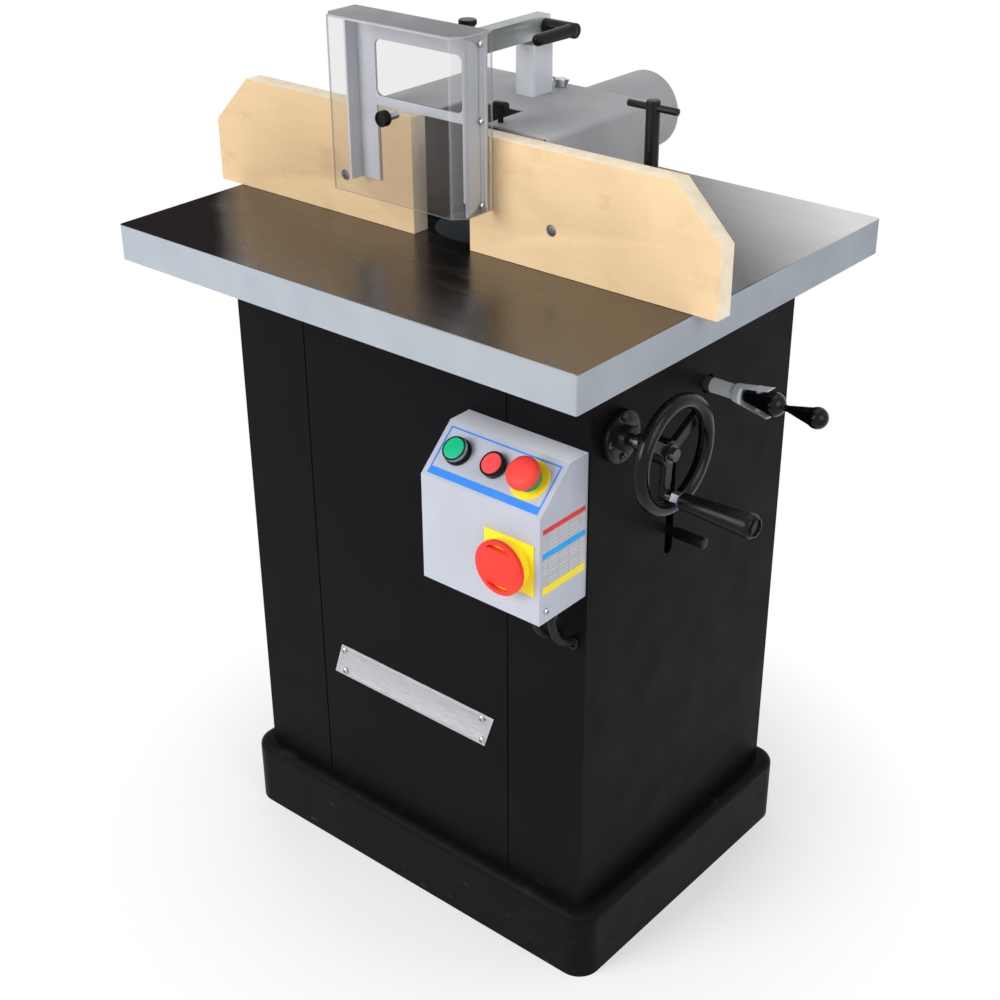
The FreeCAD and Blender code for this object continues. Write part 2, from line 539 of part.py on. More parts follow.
box_front = f"({front_y} - box_deep)"
shell = prism([(front_y, "box_low"), (front_y, "box_high"), (f"{box_front} + slant_run", "box_high"),
               (box_front, "box_high - slant_drop"), (box_front, "box_low")], "box_wide",
              ("box_left", "0", "0"), "side")
room_front = f"({box_front} + box_wall)"
sine, cosine, tangent = f"sin({tilt})", f"cos({tilt})", f"tan({tilt})"
roof_front = f"({box_front} + box_wall * {sine} + (slant_drop - box_wall + box_wall * {cosine}) / {tangent})"
brow_low = f"(box_high - slant_drop - box_wall * {cosine} + box_wall * (1 - {sine}) * {tangent})"
room = prism([(f"{front_y} + overrun", "box_low + box_wall"),
              (f"{front_y} + overrun", "box_high - box_wall"),
              (roof_front, "box_high - box_wall"), (room_front, brow_low),
              (room_front, "box_low + box_wall")],
             "box_wide - 2 * box_wall", ("box_left + box_wall", "0", "0"), "side")
through = "box_wall + 2 * overrun"
openings = [rod("start_cap + slide_gap", through, slope("start_x", "button_down", "-box_wall - overrun"),
                "slant"),
            rod("stop_cap + slide_gap", through, slope("stop_x", "button_down", "-box_wall - overrun"),
                "slant"),
            rod("estop_stem + slide_gap", through, slope("estop_x", "button_down", "-box_wall - overrun"),
                "slant"),
            rod("switch_shaft + running_gap", through, ("switch_x", f"{box_front} - overrun", "switch_z"),
                "y")]
openings += [rod("cable_radius", through, (x, f"{front_y} - gland_stand", "box_low - overrun"))
             for x in gland_spots]
openings += [screw_hole(at, "x") for at in box_spots]
node("control_box", cut(shell, room, *openings))


def collar(outer, bore, thick, at, turn):
    return cut(rod(outer, thick, at, turn), rod(bore, thick, at, turn))


node("button_bezels", group(
    collar("start_bezel", "start_cap + slide_gap", "start_bezel_thick", slope("start_x", "button_down", "0"),
           "slant"),
    collar("stop_bezel", "stop_cap + slide_gap", "stop_bezel_thick", slope("stop_x", "button_down", "0"),
           "slant"),
    collar("estop_collar", "estop_stem + slide_gap", "estop_collar_thick - disc_thick",
           slope("estop_x", "button_down", "disc_thick"), "slant")))
card = span(("switch_x - switch_plate_width / 2", f"{box_front} - switch_plate_thick",
             "switch_z - switch_plate_height / 2"),
            ("switch_x + switch_plate_width / 2", box_front, "switch_z + switch_plate_height / 2"))
boss_front = f"({box_front} - switch_plate_thick - switch_boss_thick)"
card = fuse(card, rod("switch_boss", "switch_plate_thick + switch_boss_thick",
                      ("switch_x", box_front, "switch_z"), "front"))
card = cut(card, rod("switch_shaft + running_gap", "switch_plate_thick + switch_boss_thick + 2 * overrun",
                     ("switch_x", f"{boss_front} - overrun", "switch_z"), "y"))
node("legend_plates", group(
    collar("disc_radius", "estop_stem + slide_gap", "disc_thick", slope("estop_x", "button_down", "0"),
           "slant"), card))
node("start_button",
     rod("start_cap", "button_deep + start_out", slope("start_x", "button_down", "-button_deep"), "slant"))
node("stop_button",
     rod("stop_cap", "button_deep + stop_out", slope("stop_x", "button_down", "-button_deep"), "slant"))
cap = turned([("0", "0"), ("estop_head - estop_round / 2", "0"), ("estop_head", "estop_round / 2"),
              ("estop_head", "estop_thick - estop_round"), ("estop_head - estop_round", "estop_thick"),
              ("0", "estop_thick")], slope("estop_x", "button_down", "estop_low"), "slant")
node("estop_button", fuse(cap, rod("estop_stem", "button_deep + estop_low",
                                   slope("estop_x", "button_down", "-button_deep"), "slant")))
knob_y = f"({boss_front} - slide_gap)"
bar = span(("switch_x - switch_knob", f"{knob_y} - switch_thick - overrun",
            "switch_z - switch_bar_width / 2"),
           ("switch_x + switch_knob", f"{knob_y} + overrun", "switch_z + switch_bar_width / 2"))
slots = cut(rod("switch_knob - switch_rim", "switch_thick + 2 * overrun",
                ("switch_x", f"{knob_y} + overrun", "switch_z"), "front"), bar)
dial = cut(rod("switch_knob", "switch_thick", ("switch_x", knob_y, "switch_z"), "front"), slots)
node("main_switch", fuse(dial, rod("switch_shaft",
                                   "switch_boss_thick + switch_plate_thick + slide_gap + button_deep",
                                   ("switch_x", knob_y, "switch_z"), "y")))

# Cable glands under the box and the cables that run back through the cabinet front.
glands, cables = [], []
for x in gland_spots:
    gland_y = f"({front_y} - gland_stand)"
    sleeve = fuse(rod("gland_radius", "gland_length", (x, gland_y, "box_low - gland_length")),
                  rod("gland_nut", "gland_nut_thick", (x, gland_y, "box_low - gland_nut_thick")))
    glands.append(cut(sleeve,
                      rod("cable_radius", "gland_length + 2 * overrun",
                          (x, gland_y, "box_low - gland_length - overrun"))))
    bend = shaped("Part::Torus", {"Radius1": "gland_stand", "Radius2": "cable_radius", "Angle3": "quarter"},
                  (x, front_y, "box_low - gland_length - cable_drop"),
                  FreeCAD.Rotation(FreeCAD.Vector(0, -1, 0), FreeCAD.Vector(0, 0, -1),
                                   FreeCAD.Vector(1, 0, 0), "XYZ"))
    cables.append(fuse(bend,
                       rod("cable_radius", "gland_length + cable_drop",
                           (x, gland_y, "box_low - gland_length - cable_drop")),
                       rod("cable_radius", "cable_tail", (x, front_y, cable_z), "y")))
node("cable_glands", group(*glands))
node("cables", group(*cables))


# Handwheel, its flanged bearing, its shaft with the bevel pinion and the turning grip.
flange = fuse(rod("flange_radius", "flange_thick", (side_x, "wheel_y", "wheel_z"), "x"),
              rod("flange_boss", "flange_out", (side_x, "wheel_y", "wheel_z"), "x"))
node("shaft_flange", cut(flange, rod("shaft_radius + running_gap", "flange_out + 2 * overrun",
                                     (f"{side_x} - overrun", "wheel_y", "wheel_z"), "x"),
                         *[screw_hole(at, "x") for at in flange_spots]))


def bevel(turn, bore):
    far = measure("bevel_radius")
    close = far - measure("bevel_face")
    teeth = sizes["bevel_teeth"]
    high = far + measure("bevel_addendum * sqrt(2)")
    deep = far - measure("bevel_dedendum * sqrt(2)")
    embed = deep * measure("tooth_embed_share")
    tip, middle, root = (measure(name) for name in ("tooth_tip", "tooth_pitch", "tooth_root"))
    outline = [(embed, root), (deep, root), (far, middle), (high, tip),
               (high, -tip), (far, -middle), (deep, -root), (embed, -root)]
    shape = Part.makeCone(deep * close / far, deep, far - close, FreeCAD.Vector(0, 0, close))
    wires = []
    for z in (close, far):
        spots = [FreeCAD.Vector(u * z / far, v * z / far, z) for u, v in outline]
        wires.append(Part.makePolygon(spots + spots[:1]))
    tooth = Part.makeLoft(wires, True, True)
    whole = []
    for i in range(teeth):
        one = tooth.copy()
        one.rotate(FreeCAD.Vector(), FreeCAD.Vector(0, 0, 1), 360 * i / teeth)
        whole.append(one)
    hub = Part.makeCylinder(measure("bevel_hub"), measure("bracket_gap") - far - measure("slide_gap"),
                            FreeCAD.Vector(0, 0, far))
    shape = shape.fuse(whole + [hub])
    if bore:
        reach = measure("bracket_gap") + measure("overrun")
        shape = shape.cut(Part.makeCylinder(measure(bore), reach))
    piece = doc.addObject("Part::Feature", "Bevel")
    piece.Shape = shape
    return place(piece, ("lead_x", "wheel_y", "wheel_z"), turn)


half_tooth = FreeCAD.Rotation(FreeCAD.Vector(0, 0, 1), 180 / sizes["bevel_teeth"])
node("driven_bevel", bevel(turns["down"] * half_tooth, "lead_radius"))
pinion = bevel(turns["x"], None)
shaft_low = "(lead_x + bevel_radius)"
node("handwheel_shaft", fuse(
    pinion,
    rod("shaft_radius", f"hub_high - {shaft_low}", (shaft_low, "wheel_y", "wheel_z"), "x"),
    rod("shaft_collar", "shaft_collar_thick", ("shaft_collar_low", "wheel_y", "wheel_z"), "x"),
    rod("wheel_washer", "wheel_washer_thick", ("hub_high", "wheel_y", "wheel_z"), "x"),
    rod("wheel_bolt", "wheel_bolt_thick", ("hub_high + wheel_washer_thick", "wheel_y", "wheel_z"), "x")))
rim = shaped("Part::Torus", {"Radius1": "rim_radius", "Radius2": "rim_tube"},
             ("wheel_x", "wheel_y", "wheel_z"), "x")
spokes = []
for i in range(sizes["spoke_count"]):
    spoke = block(("spoke_thick", "rim_radius", "spoke_width"), ("0", "0", "0"))
    angle = f"(spoke_first_angle + {i} * 360 / {sizes['spoke_count']})"
    spoke.Placement.Rotation = FreeCAD.Rotation(FreeCAD.Vector(1, 0, 0), 1)
    spoke.setExpression("Placement.Rotation.Angle", formula(angle))
    spoke.setExpression("Placement.Base.x", formula("wheel_x - spoke_inset - spoke_thick / 2"))
    spoke.setExpression("Placement.Base.y", formula(f"wheel_y + spoke_width / 2 * sin({angle})"))
    spoke.setExpression("Placement.Base.z", formula(f"wheel_z - spoke_width / 2 * cos({angle})"))
    spokes.append(spoke)
grip_at = ("wheel_y + grip_radius_out * cos(grip_angle)", "wheel_z + grip_radius_out * sin(grip_angle)")
hub = rod("hub_radius", "hub_high - hub_low", ("hub_low", "wheel_y", "wheel_z"), "x")
wheel = cut(fuse(rim, hub, *spokes), rod("shaft_radius", "hub_high - hub_low + 2 * overrun",
                                         ("hub_low - overrun", "wheel_y", "wheel_z"), "x"))
node("handwheel", fuse(wheel, rod("stub_radius", "stub_high - wheel_x + spoke_inset",
                                  ("wheel_x - spoke_inset", *grip_at), "x"),
                       rod("grip_pin", "grip_length - grip_round", ("stub_high", *grip_at), "x")))
handle = turned([("grip_pin + running_gap", "0"), ("grip_low_radius", "0"),
                 ("grip_high_radius", "grip_length - grip_round"),
                 ("grip_high_radius - grip_round", "grip_length"), ("0", "grip_length"),
                 ("0", "grip_length - grip_round"), ("grip_pin + running_gap", "grip_length - grip_round")],
                ("stub_high + slide_gap", *grip_at), "x")
node("handwheel_grip", handle)


# Lead screw, its bracket under the table and the thrust collar.
bracket_top = "(wheel_z - bracket_gap)"
bracket_low = f"({bracket_top} - bracket_thick)"
node("leadscrew", fuse(
    rod("lead_radius", "wheel_z - bevel_radius + bevel_face - lead_low", ("lead_x", "wheel_y", "lead_low")),
    rod("thrust_radius", "thrust_thick",
        ("lead_x", "wheel_y", f"{bracket_low} - slide_gap - thrust_thick"))))
wall_low = "(lead_x + bracket_wall_gap)"
bracket = fuse(span(("lead_x - bracket_left", "wheel_y - bracket_wide / 2", bracket_low),
                    (f"{wall_low} + bracket_thick", "wheel_y + bracket_wide / 2", bracket_top)),
               span((wall_low, "wheel_y - bracket_wide / 2", bracket_low),
                    (f"{wall_low} + bracket_thick", "wheel_y + bracket_wide / 2", under)),
               span((wall_low, "wheel_y - bracket_wide / 2", f"{under} - bracket_foot_thick"),
                    (f"{wall_low} + bracket_foot", "wheel_y + bracket_wide / 2", under)))
node("gear_bracket", cut(bracket, rod("lead_radius + running_gap", "bracket_thick + 2 * overrun",
                                      ("lead_x", "wheel_y", f"{bracket_low} - overrun")),
                         rod("shaft_radius + running_gap", "bracket_thick + 2 * overrun",
                             (f"{wall_low} - overrun", "wheel_y", "wheel_z"), "x")))


# Rising carriage: plate, guide columns, quill, bearings and motor.
plate = span(("-carriage_left", "-carriage_front", "carriage_low"),
             ("carriage_right", "carriage_back", "carriage_high"))
plate = fuse(rounded(plate, "carriage_corner", upright),
             rod("nut_boss", "nut_drop", ("lead_x", "wheel_y", "carriage_low - nut_drop")))
shaft_holes = [rod(f"{radius} + shaft_gap", "carriage_high - carriage_low + 2 * overrun",
                   ("0", y, "carriage_low - overrun"))
               for radius, y in (("spindle_radius", "spindle_y"), ("motor_shaft", "motor_y"))]
node("carriage_plate", cut(
    plate, *shaft_holes,
    rod("lead_radius + running_gap", "carriage_high - carriage_low + nut_drop + 2 * overrun",
        ("lead_x", "wheel_y", "carriage_low - nut_drop - overrun"))))
node("guide_columns", group(*[
    rod("column_radius", "column_top - carriage_high", (f"{s} * column_x", "column_y", "carriage_high"))
    for s in sides.values()]))
guides = []
for s in sides.values():
    guide = span((f"{s} * column_x - block_side / 2", "column_y - block_side / 2", "block_low"),
                 (f"{s} * column_x + block_side / 2", "column_y + block_side / 2", under))
    guide = rounded(guide, "block_corner", upright)
    ways = [rod("column_radius + running_gap", f"{under} - block_low + 2 * overrun",
                (f"{s} * column_x", "column_y", "block_low - overrun"))]
    if s > 0:
        ways.append(rod("hold_radius + running_gap", "block_side", ("column_x", "hold_y", "hold_z"), "x"))
    guides.append(cut(guide, *ways))
node("guide_blocks", group(*guides))

quill = fuse(rod("quill_radius", "quill_height", ("0", "spindle_y", "carriage_high")),
             rod("quill_foot", "quill_foot_thick", ("0", "spindle_y", "carriage_high")))
node("quill", cut(
    quill,
    rod("quill_bore", "quill_height - quill_lip + overrun", ("0", "spindle_y", "carriage_high - overrun")),
    rod("shoulder_radius + quill_lip_gap", "quill_height + overrun", ("0", "spindle_y", "carriage_high")),
    rod("lock_radius + running_gap", "quill_radius + overrun", ("0", "spindle_y", "lock_z"), "x")))
bearing_lows = ["carriage_high + bearing_rise", "carriage_high + quill_height - quill_lip - bearing_thick"]
node("spindle_bearings", group(*[collar("quill_bore", "spindle_radius + running_gap", "bearing_thick",
                                        ("0", "spindle_y", low), "z") for low in bearing_lows]))

fins = [rod("motor_fin", "motor_fin_thick",
            ("0", "motor_y", f"carriage_high + motor_low_cap + motor_fin_pitch * {i + 1}"))
        for i in range(sizes["motor_fins"])]
motor = fuse(rod("motor_cap", "motor_height", ("0", "motor_y", "carriage_high")),
             rod("motor_radius", "motor_height - 2 * motor_low_cap",
                 ("0", "motor_y", "carriage_high + motor_low_cap")),
             *fins,
             span(("-motor_radius - terminal_wide", "motor_y - terminal_deep / 2",
                   "carriage_high + terminal_rise"),
                  ("0", "motor_y + terminal_deep / 2", "carriage_high + terminal_rise + terminal_tall")))
node("motor", cut(motor, rod("motor_shaft + motor_bore_gap",
                             "motor_shaft_top - carriage_high + 2 * overrun",
                             ("0", "motor_y", "carriage_high - overrun"))))


def pulley(radius, bore, y):
    wheel = cut(rod(radius, "pulley_thick", ("0", y, "pulley_low")),
                rod(bore, "pulley_thick", ("0", y, "pulley_low")))
    groove = collar(f"{radius} + overrun", f"{radius} - groove_depth", "groove_width",
                    ("0", y, "pulley_low + groove_rise"), "z")
    return cut(wheel, groove)


node("spindle_pulley", pulley("spindle_pulley", "spindle_radius", "spindle_y"))
node("motor_pulley", fuse(pulley("motor_pulley", "motor_shaft", "motor_y"),
                          rod("motor_shaft", "motor_shaft_top - pulley_low",
                              ("0", "motor_y", "pulley_low"))))


# Flat drive belt, held just clear of both pulleys.
def loop(inset, low, thick):
    small, large = f"(spindle_pulley - {inset})", f"(motor_pulley - {inset})"
    lean = "asin((motor_pulley - spindle_pulley) / (motor_y - spindle_y))"
    near_y, far_y = f"(spindle_y - {small} * sin({lean}))", f"(motor_y - {large} * sin({lean}))"
    web = prism([(f"-{small} * cos({lean})", near_y), (f"{small} * cos({lean})", near_y),
                 (f"{large} * cos({lean})", far_y), (f"-{large} * cos({lean})", far_y)], thick,
                ("0", "0", low), "z")
    return fuse(web, rod(small, thick, ("0", "spindle_y", low)), rod(large, thick, ("0", "motor_y", low)))


belt_low = "pulley_low + groove_rise + slide_gap"
belt_wide = "groove_width - 2 * slide_gap"
node("drive_belt", cut(loop("(groove_depth - slide_gap - belt_thick)", belt_low, belt_wide),
                       loop("(groove_depth - slide_gap)", f"{belt_low} - overrun",
                            f"{belt_wide} + 2 * overrun")))


# Spindle with the lock ring, arbor shoulder, collars and nut.
shoulder_low = "(carriage_high + quill_height + shoulder_rise)"
stack_low = f"({shoulder_low} + shoulder_thick)"
ring_low = "(lock_z - lock_ring_thick / 2)"
core = fuse(rod("spindle_radius", "spindle_high - spindle_low", ("0", "spindle_y", "spindle_low")),
            rod("lock_ring", "lock_ring_thick", ("0", "spindle_y", ring_low)),
            rod("shoulder_radius", "shoulder_thick", ("0", "spindle_y", shoulder_low)))
holes = []
for i in range(sizes["lock_holes"]):
    bore = rod("lock_radius + lock_hole_gap", "lock_ring",
               (f"lock_hole_floor * cos({i} * 360 / lock_holes)",
               f"spindle_y + lock_hole_floor * sin({i} * 360 / lock_holes)", "lock_z"),
               FreeCAD.Rotation(FreeCAD.Vector(0, 0, 1), 360 * i / sizes["lock_holes"]) * turns["x"])
    holes.append(bore)
node("spindle", cut(core, *holes))
node("spindle_collars", group(*[collar("collar_radius", "spindle_radius", "collar_thick",
                                       ("0", "spindle_y", f"{stack_low} + {i} * collar_thick"), "z")
                                for i in range(sizes["collar_count"])]))
corners = around(sizes["nut_sides"], "0", "nut_radius")
nut_low = f"({stack_low} + collar_count * collar_thick)"
node("spindle_nut", cut(prism(corners, "nut_thick", ("0", "spindle_y", nut_low), "z"),
                        rod("spindle_radius", "nut_thick", ("0", "spindle_y", nut_low))))
lock_rod = rounded(rod("lock_grip", "lock_grip_length",
                       ("lock_end - lock_grip_length", "spindle_y", "lock_z"), "x"),
                   "lock_round", right_rim)
node("lock_pin", fuse(lock_rod, rod("lock_radius", "lock_end - lock_grip_length - lock_tip",
                                    ("lock_tip", "spindle_y", "lock_z"), "x")))


# Height lock: a screw that bears on the right column, with a forked end and a folding lever.
fork = prism([("hold_fork_low", "-hold_fork_root"), ("hold_fork_high", "-hold_fork_tip"),
              ("hold_fork_high", "hold_fork_tip"), ("hold_fork_low", "hold_fork_root")], "hold_fork_width",
             ("0", "hold_y + hold_fork_width / 2", "hold_z"), "front")
fork = common(fork, cone("hold_fork_root", "hold_fork_tip", "hold_fork_high - hold_fork_low",
                         ("hold_fork_low", "hold_y", "hold_z"), "x"))
fork = cut(fork, prism([("hold_gap_low", "-hold_gap_root"), ("hold_fork_high", "-hold_gap_tip"),
                        ("hold_fork_high + overrun", "-hold_gap_tip"),
                        ("hold_fork_high + overrun", "hold_gap_tip"),
                        ("hold_fork_high", "hold_gap_tip"), ("hold_gap_low", "hold_gap_root")],
                       "2 * hold_fork_width", ("0", "hold_y + hold_fork_width", "hold_z"), "front"))
shank_low = "(column_x + column_radius + slide_gap)"
node("lock_screw", fuse(
    fork,
    rod("hold_radius", f"hold_fork_low + overrun - {shank_low}", (shank_low, "hold_y", "hold_z"), "x"),
    rod("hold_pin", "2 * hold_gap_tip", ("hold_pin_x", "hold_y", "hold_z - hold_gap_tip"))))
lever = fuse(cone("tail_radius", "swell_radius", "swell_x - tail_low", ("tail_low", "hold_y", "hold_z"),
                  "x"),
             ball("knuckle_radius", ("knuckle_x", "hold_y", "hold_z")),
             rod("neck_radius", "neck_high - knuckle_x", ("knuckle_x", "hold_y", "hold_z"), "x"),
             cone("neck_radius", "pear_radius", "pear_high - neck_high", ("neck_high", "hold_y", "hold_z"),
                  "x"),
             ball("knob_radius", ("knob_x", "hold_y", "hold_z")))
node("lock_lever", cut(lever, rod("hold_pin + running_gap", "2 * knuckle_radius",
                                  ("hold_pin_x", "hold_y", "hold_z - knuckle_radius"))))


# Fence hood: folded sheet, open below and in front, with slotted feet and slotted front flanges.
foot_low = "(table_top + slide_gap)"
hood_front = "(board_back + backing_thick + slide_gap)"
flange_back = f"({hood_front} + hood_wall)"


def top_bends(edge, box):
    return top_rim(edge, box) and not front_rim(edge, box)


cover = span(("-hood_half", hood_front, foot_low), ("hood_half", "hood_back", "hood_top"))
cover = rounded(cover, "hood_bend", top_bends)
space = span(("-hood_half + hood_wall", f"{hood_front} - overrun", f"{foot_low} - overrun"),
             ("hood_half - hood_wall", "hood_back - hood_wall", "hood_top - hood_wall"))
space = rounded(space, "hood_bend - hood_wall", top_bends)
cover = cut(cover, space,
            span(("-hood_cut_half", f"{hood_front} - overrun", "hood_top - 2 * hood_wall"),
                 ("hood_cut_half", "hood_cut_back", "hood_top + overrun")),
            rod("pipe_radius - pipe_wall", "hood_wall + 2 * overrun",
                ("0", "hood_back - hood_wall - overrun", "pipe_z"), "y"))
folds = []
clear = "(tee_radius + tee_slot_gap)"
for s in sides.values():
    low, high = between(s, "hood_lip_inner", "hood_half - hood_bend")
    folds.append(span((low, hood_front, "hood_top - hood_lip_drop"),
                      (high, flange_back, "hood_top - hood_wall")))
    low, high = between(s, "hood_half - hood_wall", "hood_flange_out")
    strip = span((low, hood_front, foot_low), (high, flange_back, "hood_flange_high"))
    low, high = between(s, "stud_x - stud_inward - stud_radius - slide_gap",
                        "stud_x + stud_outward + stud_radius + slide_gap")
    folds.append(cut(strip, span((low, f"{hood_front} - overrun", "stud_z - stud_radius - slide_gap"),
                                 (high, f"{flange_back} + overrun", "stud_z + stud_radius + slide_gap"))))
    low, high = between(s, "hood_half - hood_wall", "foot_out")
    foot = span((low, hood_front, foot_low), (high, "foot_back", f"{foot_low} + foot_thick"))
    folds.append(cut(foot, span((f"{s} * tee_x - {clear}", f"tee_y - {clear} - tee_slot_travel",
                                 f"{foot_low} - overrun"),
                                (f"{s} * tee_x + {clear}", f"tee_y + {clear}",
                                 f"{foot_low} + foot_thick + overrun"))))
node("hood", fuse(cover, *folds))
pipe = fuse(rod("pipe_radius", "pipe_end - hood_back", ("0", "hood_back", "pipe_z"), "y"),
            rod("pipe_ring", "pipe_ring_thick", ("0", "hood_back", "pipe_z"), "y"))
node("dust_pipe", cut(pipe, rod("pipe_radius - pipe_wall", "pipe_end - hood_back + 2 * overrun",
                                ("0", "hood_back - overrun", "pipe_z"), "y")))


# Wooden boards on steel backing plates, each clamped by a knob behind the hood's flange.
board_front = "(board_back - board_thick)"
for side, s in sides.items():
    inner, outer = f"{side}_inner", f"{side}_outer"
    outline = [(f"{s} * {inner}", foot_low), (f"{s} * {inner}", "board_top"),
               (f"{s} * ({outer} - board_slope)", "board_top"),
               (f"{s} * {outer}", "board_top - board_slope"),
               (f"{s} * {outer}", foot_low)]
    board = prism(outline, "board_thick", ("0", "board_back", "0"), "front")
    bolt_x = f"{s} * board_screw_x"
    seat = f"({board_front} + board_bore_depth)"
    shank = rod("board_screw", "board_thick - board_bore_depth",
                (bolt_x, "board_back", "board_screw_z"), "front")
    head = rod("board_head", "board_head_thick", (bolt_x, seat, "board_screw_z"), "front")
    bore = rod("board_bore", "board_bore_depth + overrun", (bolt_x, seat, "board_screw_z"), "front")
    node(f"fence_board_{side}", cut(board, shank, bore))
    low, high = between(s, "backing_inner", "backing_outer")
    backing = span((low, "board_back", foot_low), (high, "board_back + backing_thick", "backing_top"))
    stud = rod("stud_radius", "stud_length", (f"{s} * stud_x", "board_back + backing_thick", "stud_z"), "y")
    node(f"fence_plate_{side}", fuse(backing, stud, shank, head))
    knob = collar("knob_round", "stud_radius + running_gap", "knob_thick",
                  (f"{s} * stud_x", f"{flange_back} + slide_gap", "stud_z"), "y")
    node(f"fence_knob_{side}", knob)

# T-handle screws that clamp the hood's feet to the table.
for side, s in sides.items():
    at = (f"{s} * tee_x", "tee_y", "tee_top - tee_bar_drop")
    angle = "tee_left_angle" if s < 0 else "0"
    bar = rod("tee_bar", "tee_bar_length", (f"{at[0]} - tee_bar_length / 2 * cos({angle})",
              f"tee_y - tee_bar_length / 2 * sin({angle})", at[2]),
              FreeCAD.Rotation(FreeCAD.Vector(0, 0, 1), measure(angle)) * turns["x"])
    stem = rounded(rod("tee_radius", "tee_top - table_top + tee_sink",
                       (at[0], "tee_y", "table_top - tee_sink")),
                   "tee_round", top_rim)
    node(f"clamp_screw_{side}", fuse(stem, bar, rod("tee_collar", "tee_collar_thick",
                                                    (at[0], "tee_y",
                                                     f"{foot_low} + foot_thick + slide_gap"))))


# Guard post on the hood, with the lug that carries the arm, and a wing nut behind it.
post = rounded(span(("-post_wide / 2", "post_y - post_deep / 2", "hood_top"),
                    ("post_wide / 2", "post_y + post_deep / 2", "post_top")), "post_corner", upright)
lug = fuse(span(("-lug_half", "pivot_y - lug_radius", "post_top"),
                ("lug_half", "pivot_y + lug_radius", "pivot_z")),
           rod("lug_radius", "2 * lug_half", ("-lug_half", "pivot_y", "pivot_z"), "x"))
node("guard_post", cut(fuse(post, lug), rod("pivot_pin + running_gap", "2 * lug_half + 2 * overrun",
                                            ("-lug_half - overrun", "pivot_y", "pivot_z"), "x")))
node("wing_nut", fuse(rod("wing_hub", "wing_thick", ("wing_x", "wing_y", "hood_top")),
                      rod("wing_stud", "wing_stud_rise", ("wing_x", "wing_y", "hood_top")),
                      prism([("-wing_span", "wing_rise"), ("-wing_hub", "0"), ("wing_hub", "0"),
                             ("wing_span", "wing_rise"),
                             ("wing_hub", "wing_thick"), ("-wing_hub", "wing_thick")], "wing_blade",
                            ("wing_x", "wing_y + wing_blade / 2", "hood_top"), "front")))
channel = span(("-arm_half", "arm_front", "arm_low"), ("arm_half", "arm_back", "arm_high"))
bar_top = "(arm_high - arm_wall - slide_gap)"
slot_low = f"({bar_top} - bar_thick - slide_gap)"
slide = span(("-arm_half + arm_wall", "arm_front - overrun", slot_low),
             ("arm_half - arm_wall", "arm_back + overrun", "arm_high - arm_wall"))
hollow = span(("-arm_half + arm_wall", "arm_front - overrun", "arm_low - overrun"),
              ("arm_half - arm_wall", "arm_back + overrun", f"{slot_low} - arm_wall"))
nose = span(("-arm_half - overrun", "arm_front - overrun", "arm_low - overrun"),
            ("arm_half + overrun", "arm_cheek_front", "arm_high - arm_wall"))
tail = span(("-arm_half + arm_wall", "arm_floor_back", "arm_low - overrun"),
            ("arm_half - arm_wall", "arm_back + overrun", "arm_high - arm_wall"))
node("guard_arm", cut(channel, slide, hollow, nose, tail,
                      rod("pivot_pin + running_gap", "2 * arm_half + 2 * overrun",
                          ("-arm_half - overrun", "pivot_y", "pivot_z"), "x"),
                      rod("arm_knob_stem + running_gap", "arm_wall + 2 * overrun",
                          ("0", "arm_knob_y", "arm_high - arm_wall - overrun"))))
node("clamp_lever", fuse(rod("lever_hub", "lever_hub_end - arm_half - slide_gap",
                             ("arm_half + slide_gap", "pivot_y", "pivot_z"), "x"),
                         rod("pivot_pin", "2 * arm_half + 2 * slide_gap",
                             ("-arm_half - slide_gap", "pivot_y", "pivot_z"), "x"),
                         rod("pivot_head", "pivot_head_thick",
                             ("-arm_half - slide_gap - pivot_head_thick", "pivot_y", "pivot_z"), "x"),
                         cone("lever_root", "lever_tip", "lever_length", ("lever_x", "pivot_y", "pivot_z"),
                              "front"),
                         ball("lever_tip", ("lever_x", "pivot_y - lever_length", "pivot_z"))))
knob_low = "(arm_high - arm_wall)"
node("arm_knob", fuse(rod("arm_knob_stem", f"arm_knob_low - {knob_low}", ("0", "arm_knob_y", knob_low)),
                      rod("arm_knob_radius", "arm_knob_thick", ("0", "arm_knob_y", "arm_knob_low"))))


# Guard: folded frame with a window, a telescoping bar, the clear shield and its screws.
sheet_top = "(guard_high - guard_wall)"
sheet_back = "(guard_back - guard_wall)"
lid = prism([("shield_left", "guard_front"), ("guard_right - guard_corner", "guard_front"),
             ("guard_right", "guard_front + guard_corner"), ("guard_right", "guard_back"),
             ("guard_left", "guard_back"), ("guard_left", "guard_front + shield_left - guard_left")],
            "guard_wall", ("0", "0", sheet_top), "z")
back = span(("guard_left", sheet_back, "guard_low"), ("sheet_right", "guard_back", sheet_top))
window = rounded(span(("window_left", f"{sheet_back} - overrun", "window_low"),
                      ("window_right", "guard_back + overrun", "window_high")),
                 "window_corner", along_y)
gap = span(("window_left", f"{sheet_back} - overrun", "guard_low - overrun"),
           ("window_right", "guard_back + overrun", "lip_low"))
returns = [span(("guard_left", f"{sheet_back} - guard_left_return", "guard_low"),
                ("guard_left + guard_wall", sheet_back, sheet_top)),
           span(("guard_right - guard_wall", "guard_front + guard_corner + slide_gap", "guard_low"),
                ("guard_right", "return_back", sheet_top))]
bar = span(("-arm_half + arm_wall + slide_gap", sheet_back, f"{bar_top} - bar_thick"),
           ("arm_half - arm_wall - slide_gap", "bar_back", bar_top))
shield_levels = ["shield_screw_low", "shield_screw_mid", "shield_screw_high"]
shield_holes = [rod("shield_screw", "guard_wall + shield_wall + 2 * overrun",
                    ("guard_right - guard_wall - overrun", "shield_screw_y", z), "x")
                for z in shield_levels]
node("guard_frame", cut(fuse(lid, cut(back, window, gap), *returns, bar), *shield_holes))
bend = "shield_wall * tan(half_corner)"
outer_x, outer_y = "(guard_right + shield_wall)", "(guard_front - shield_wall)"
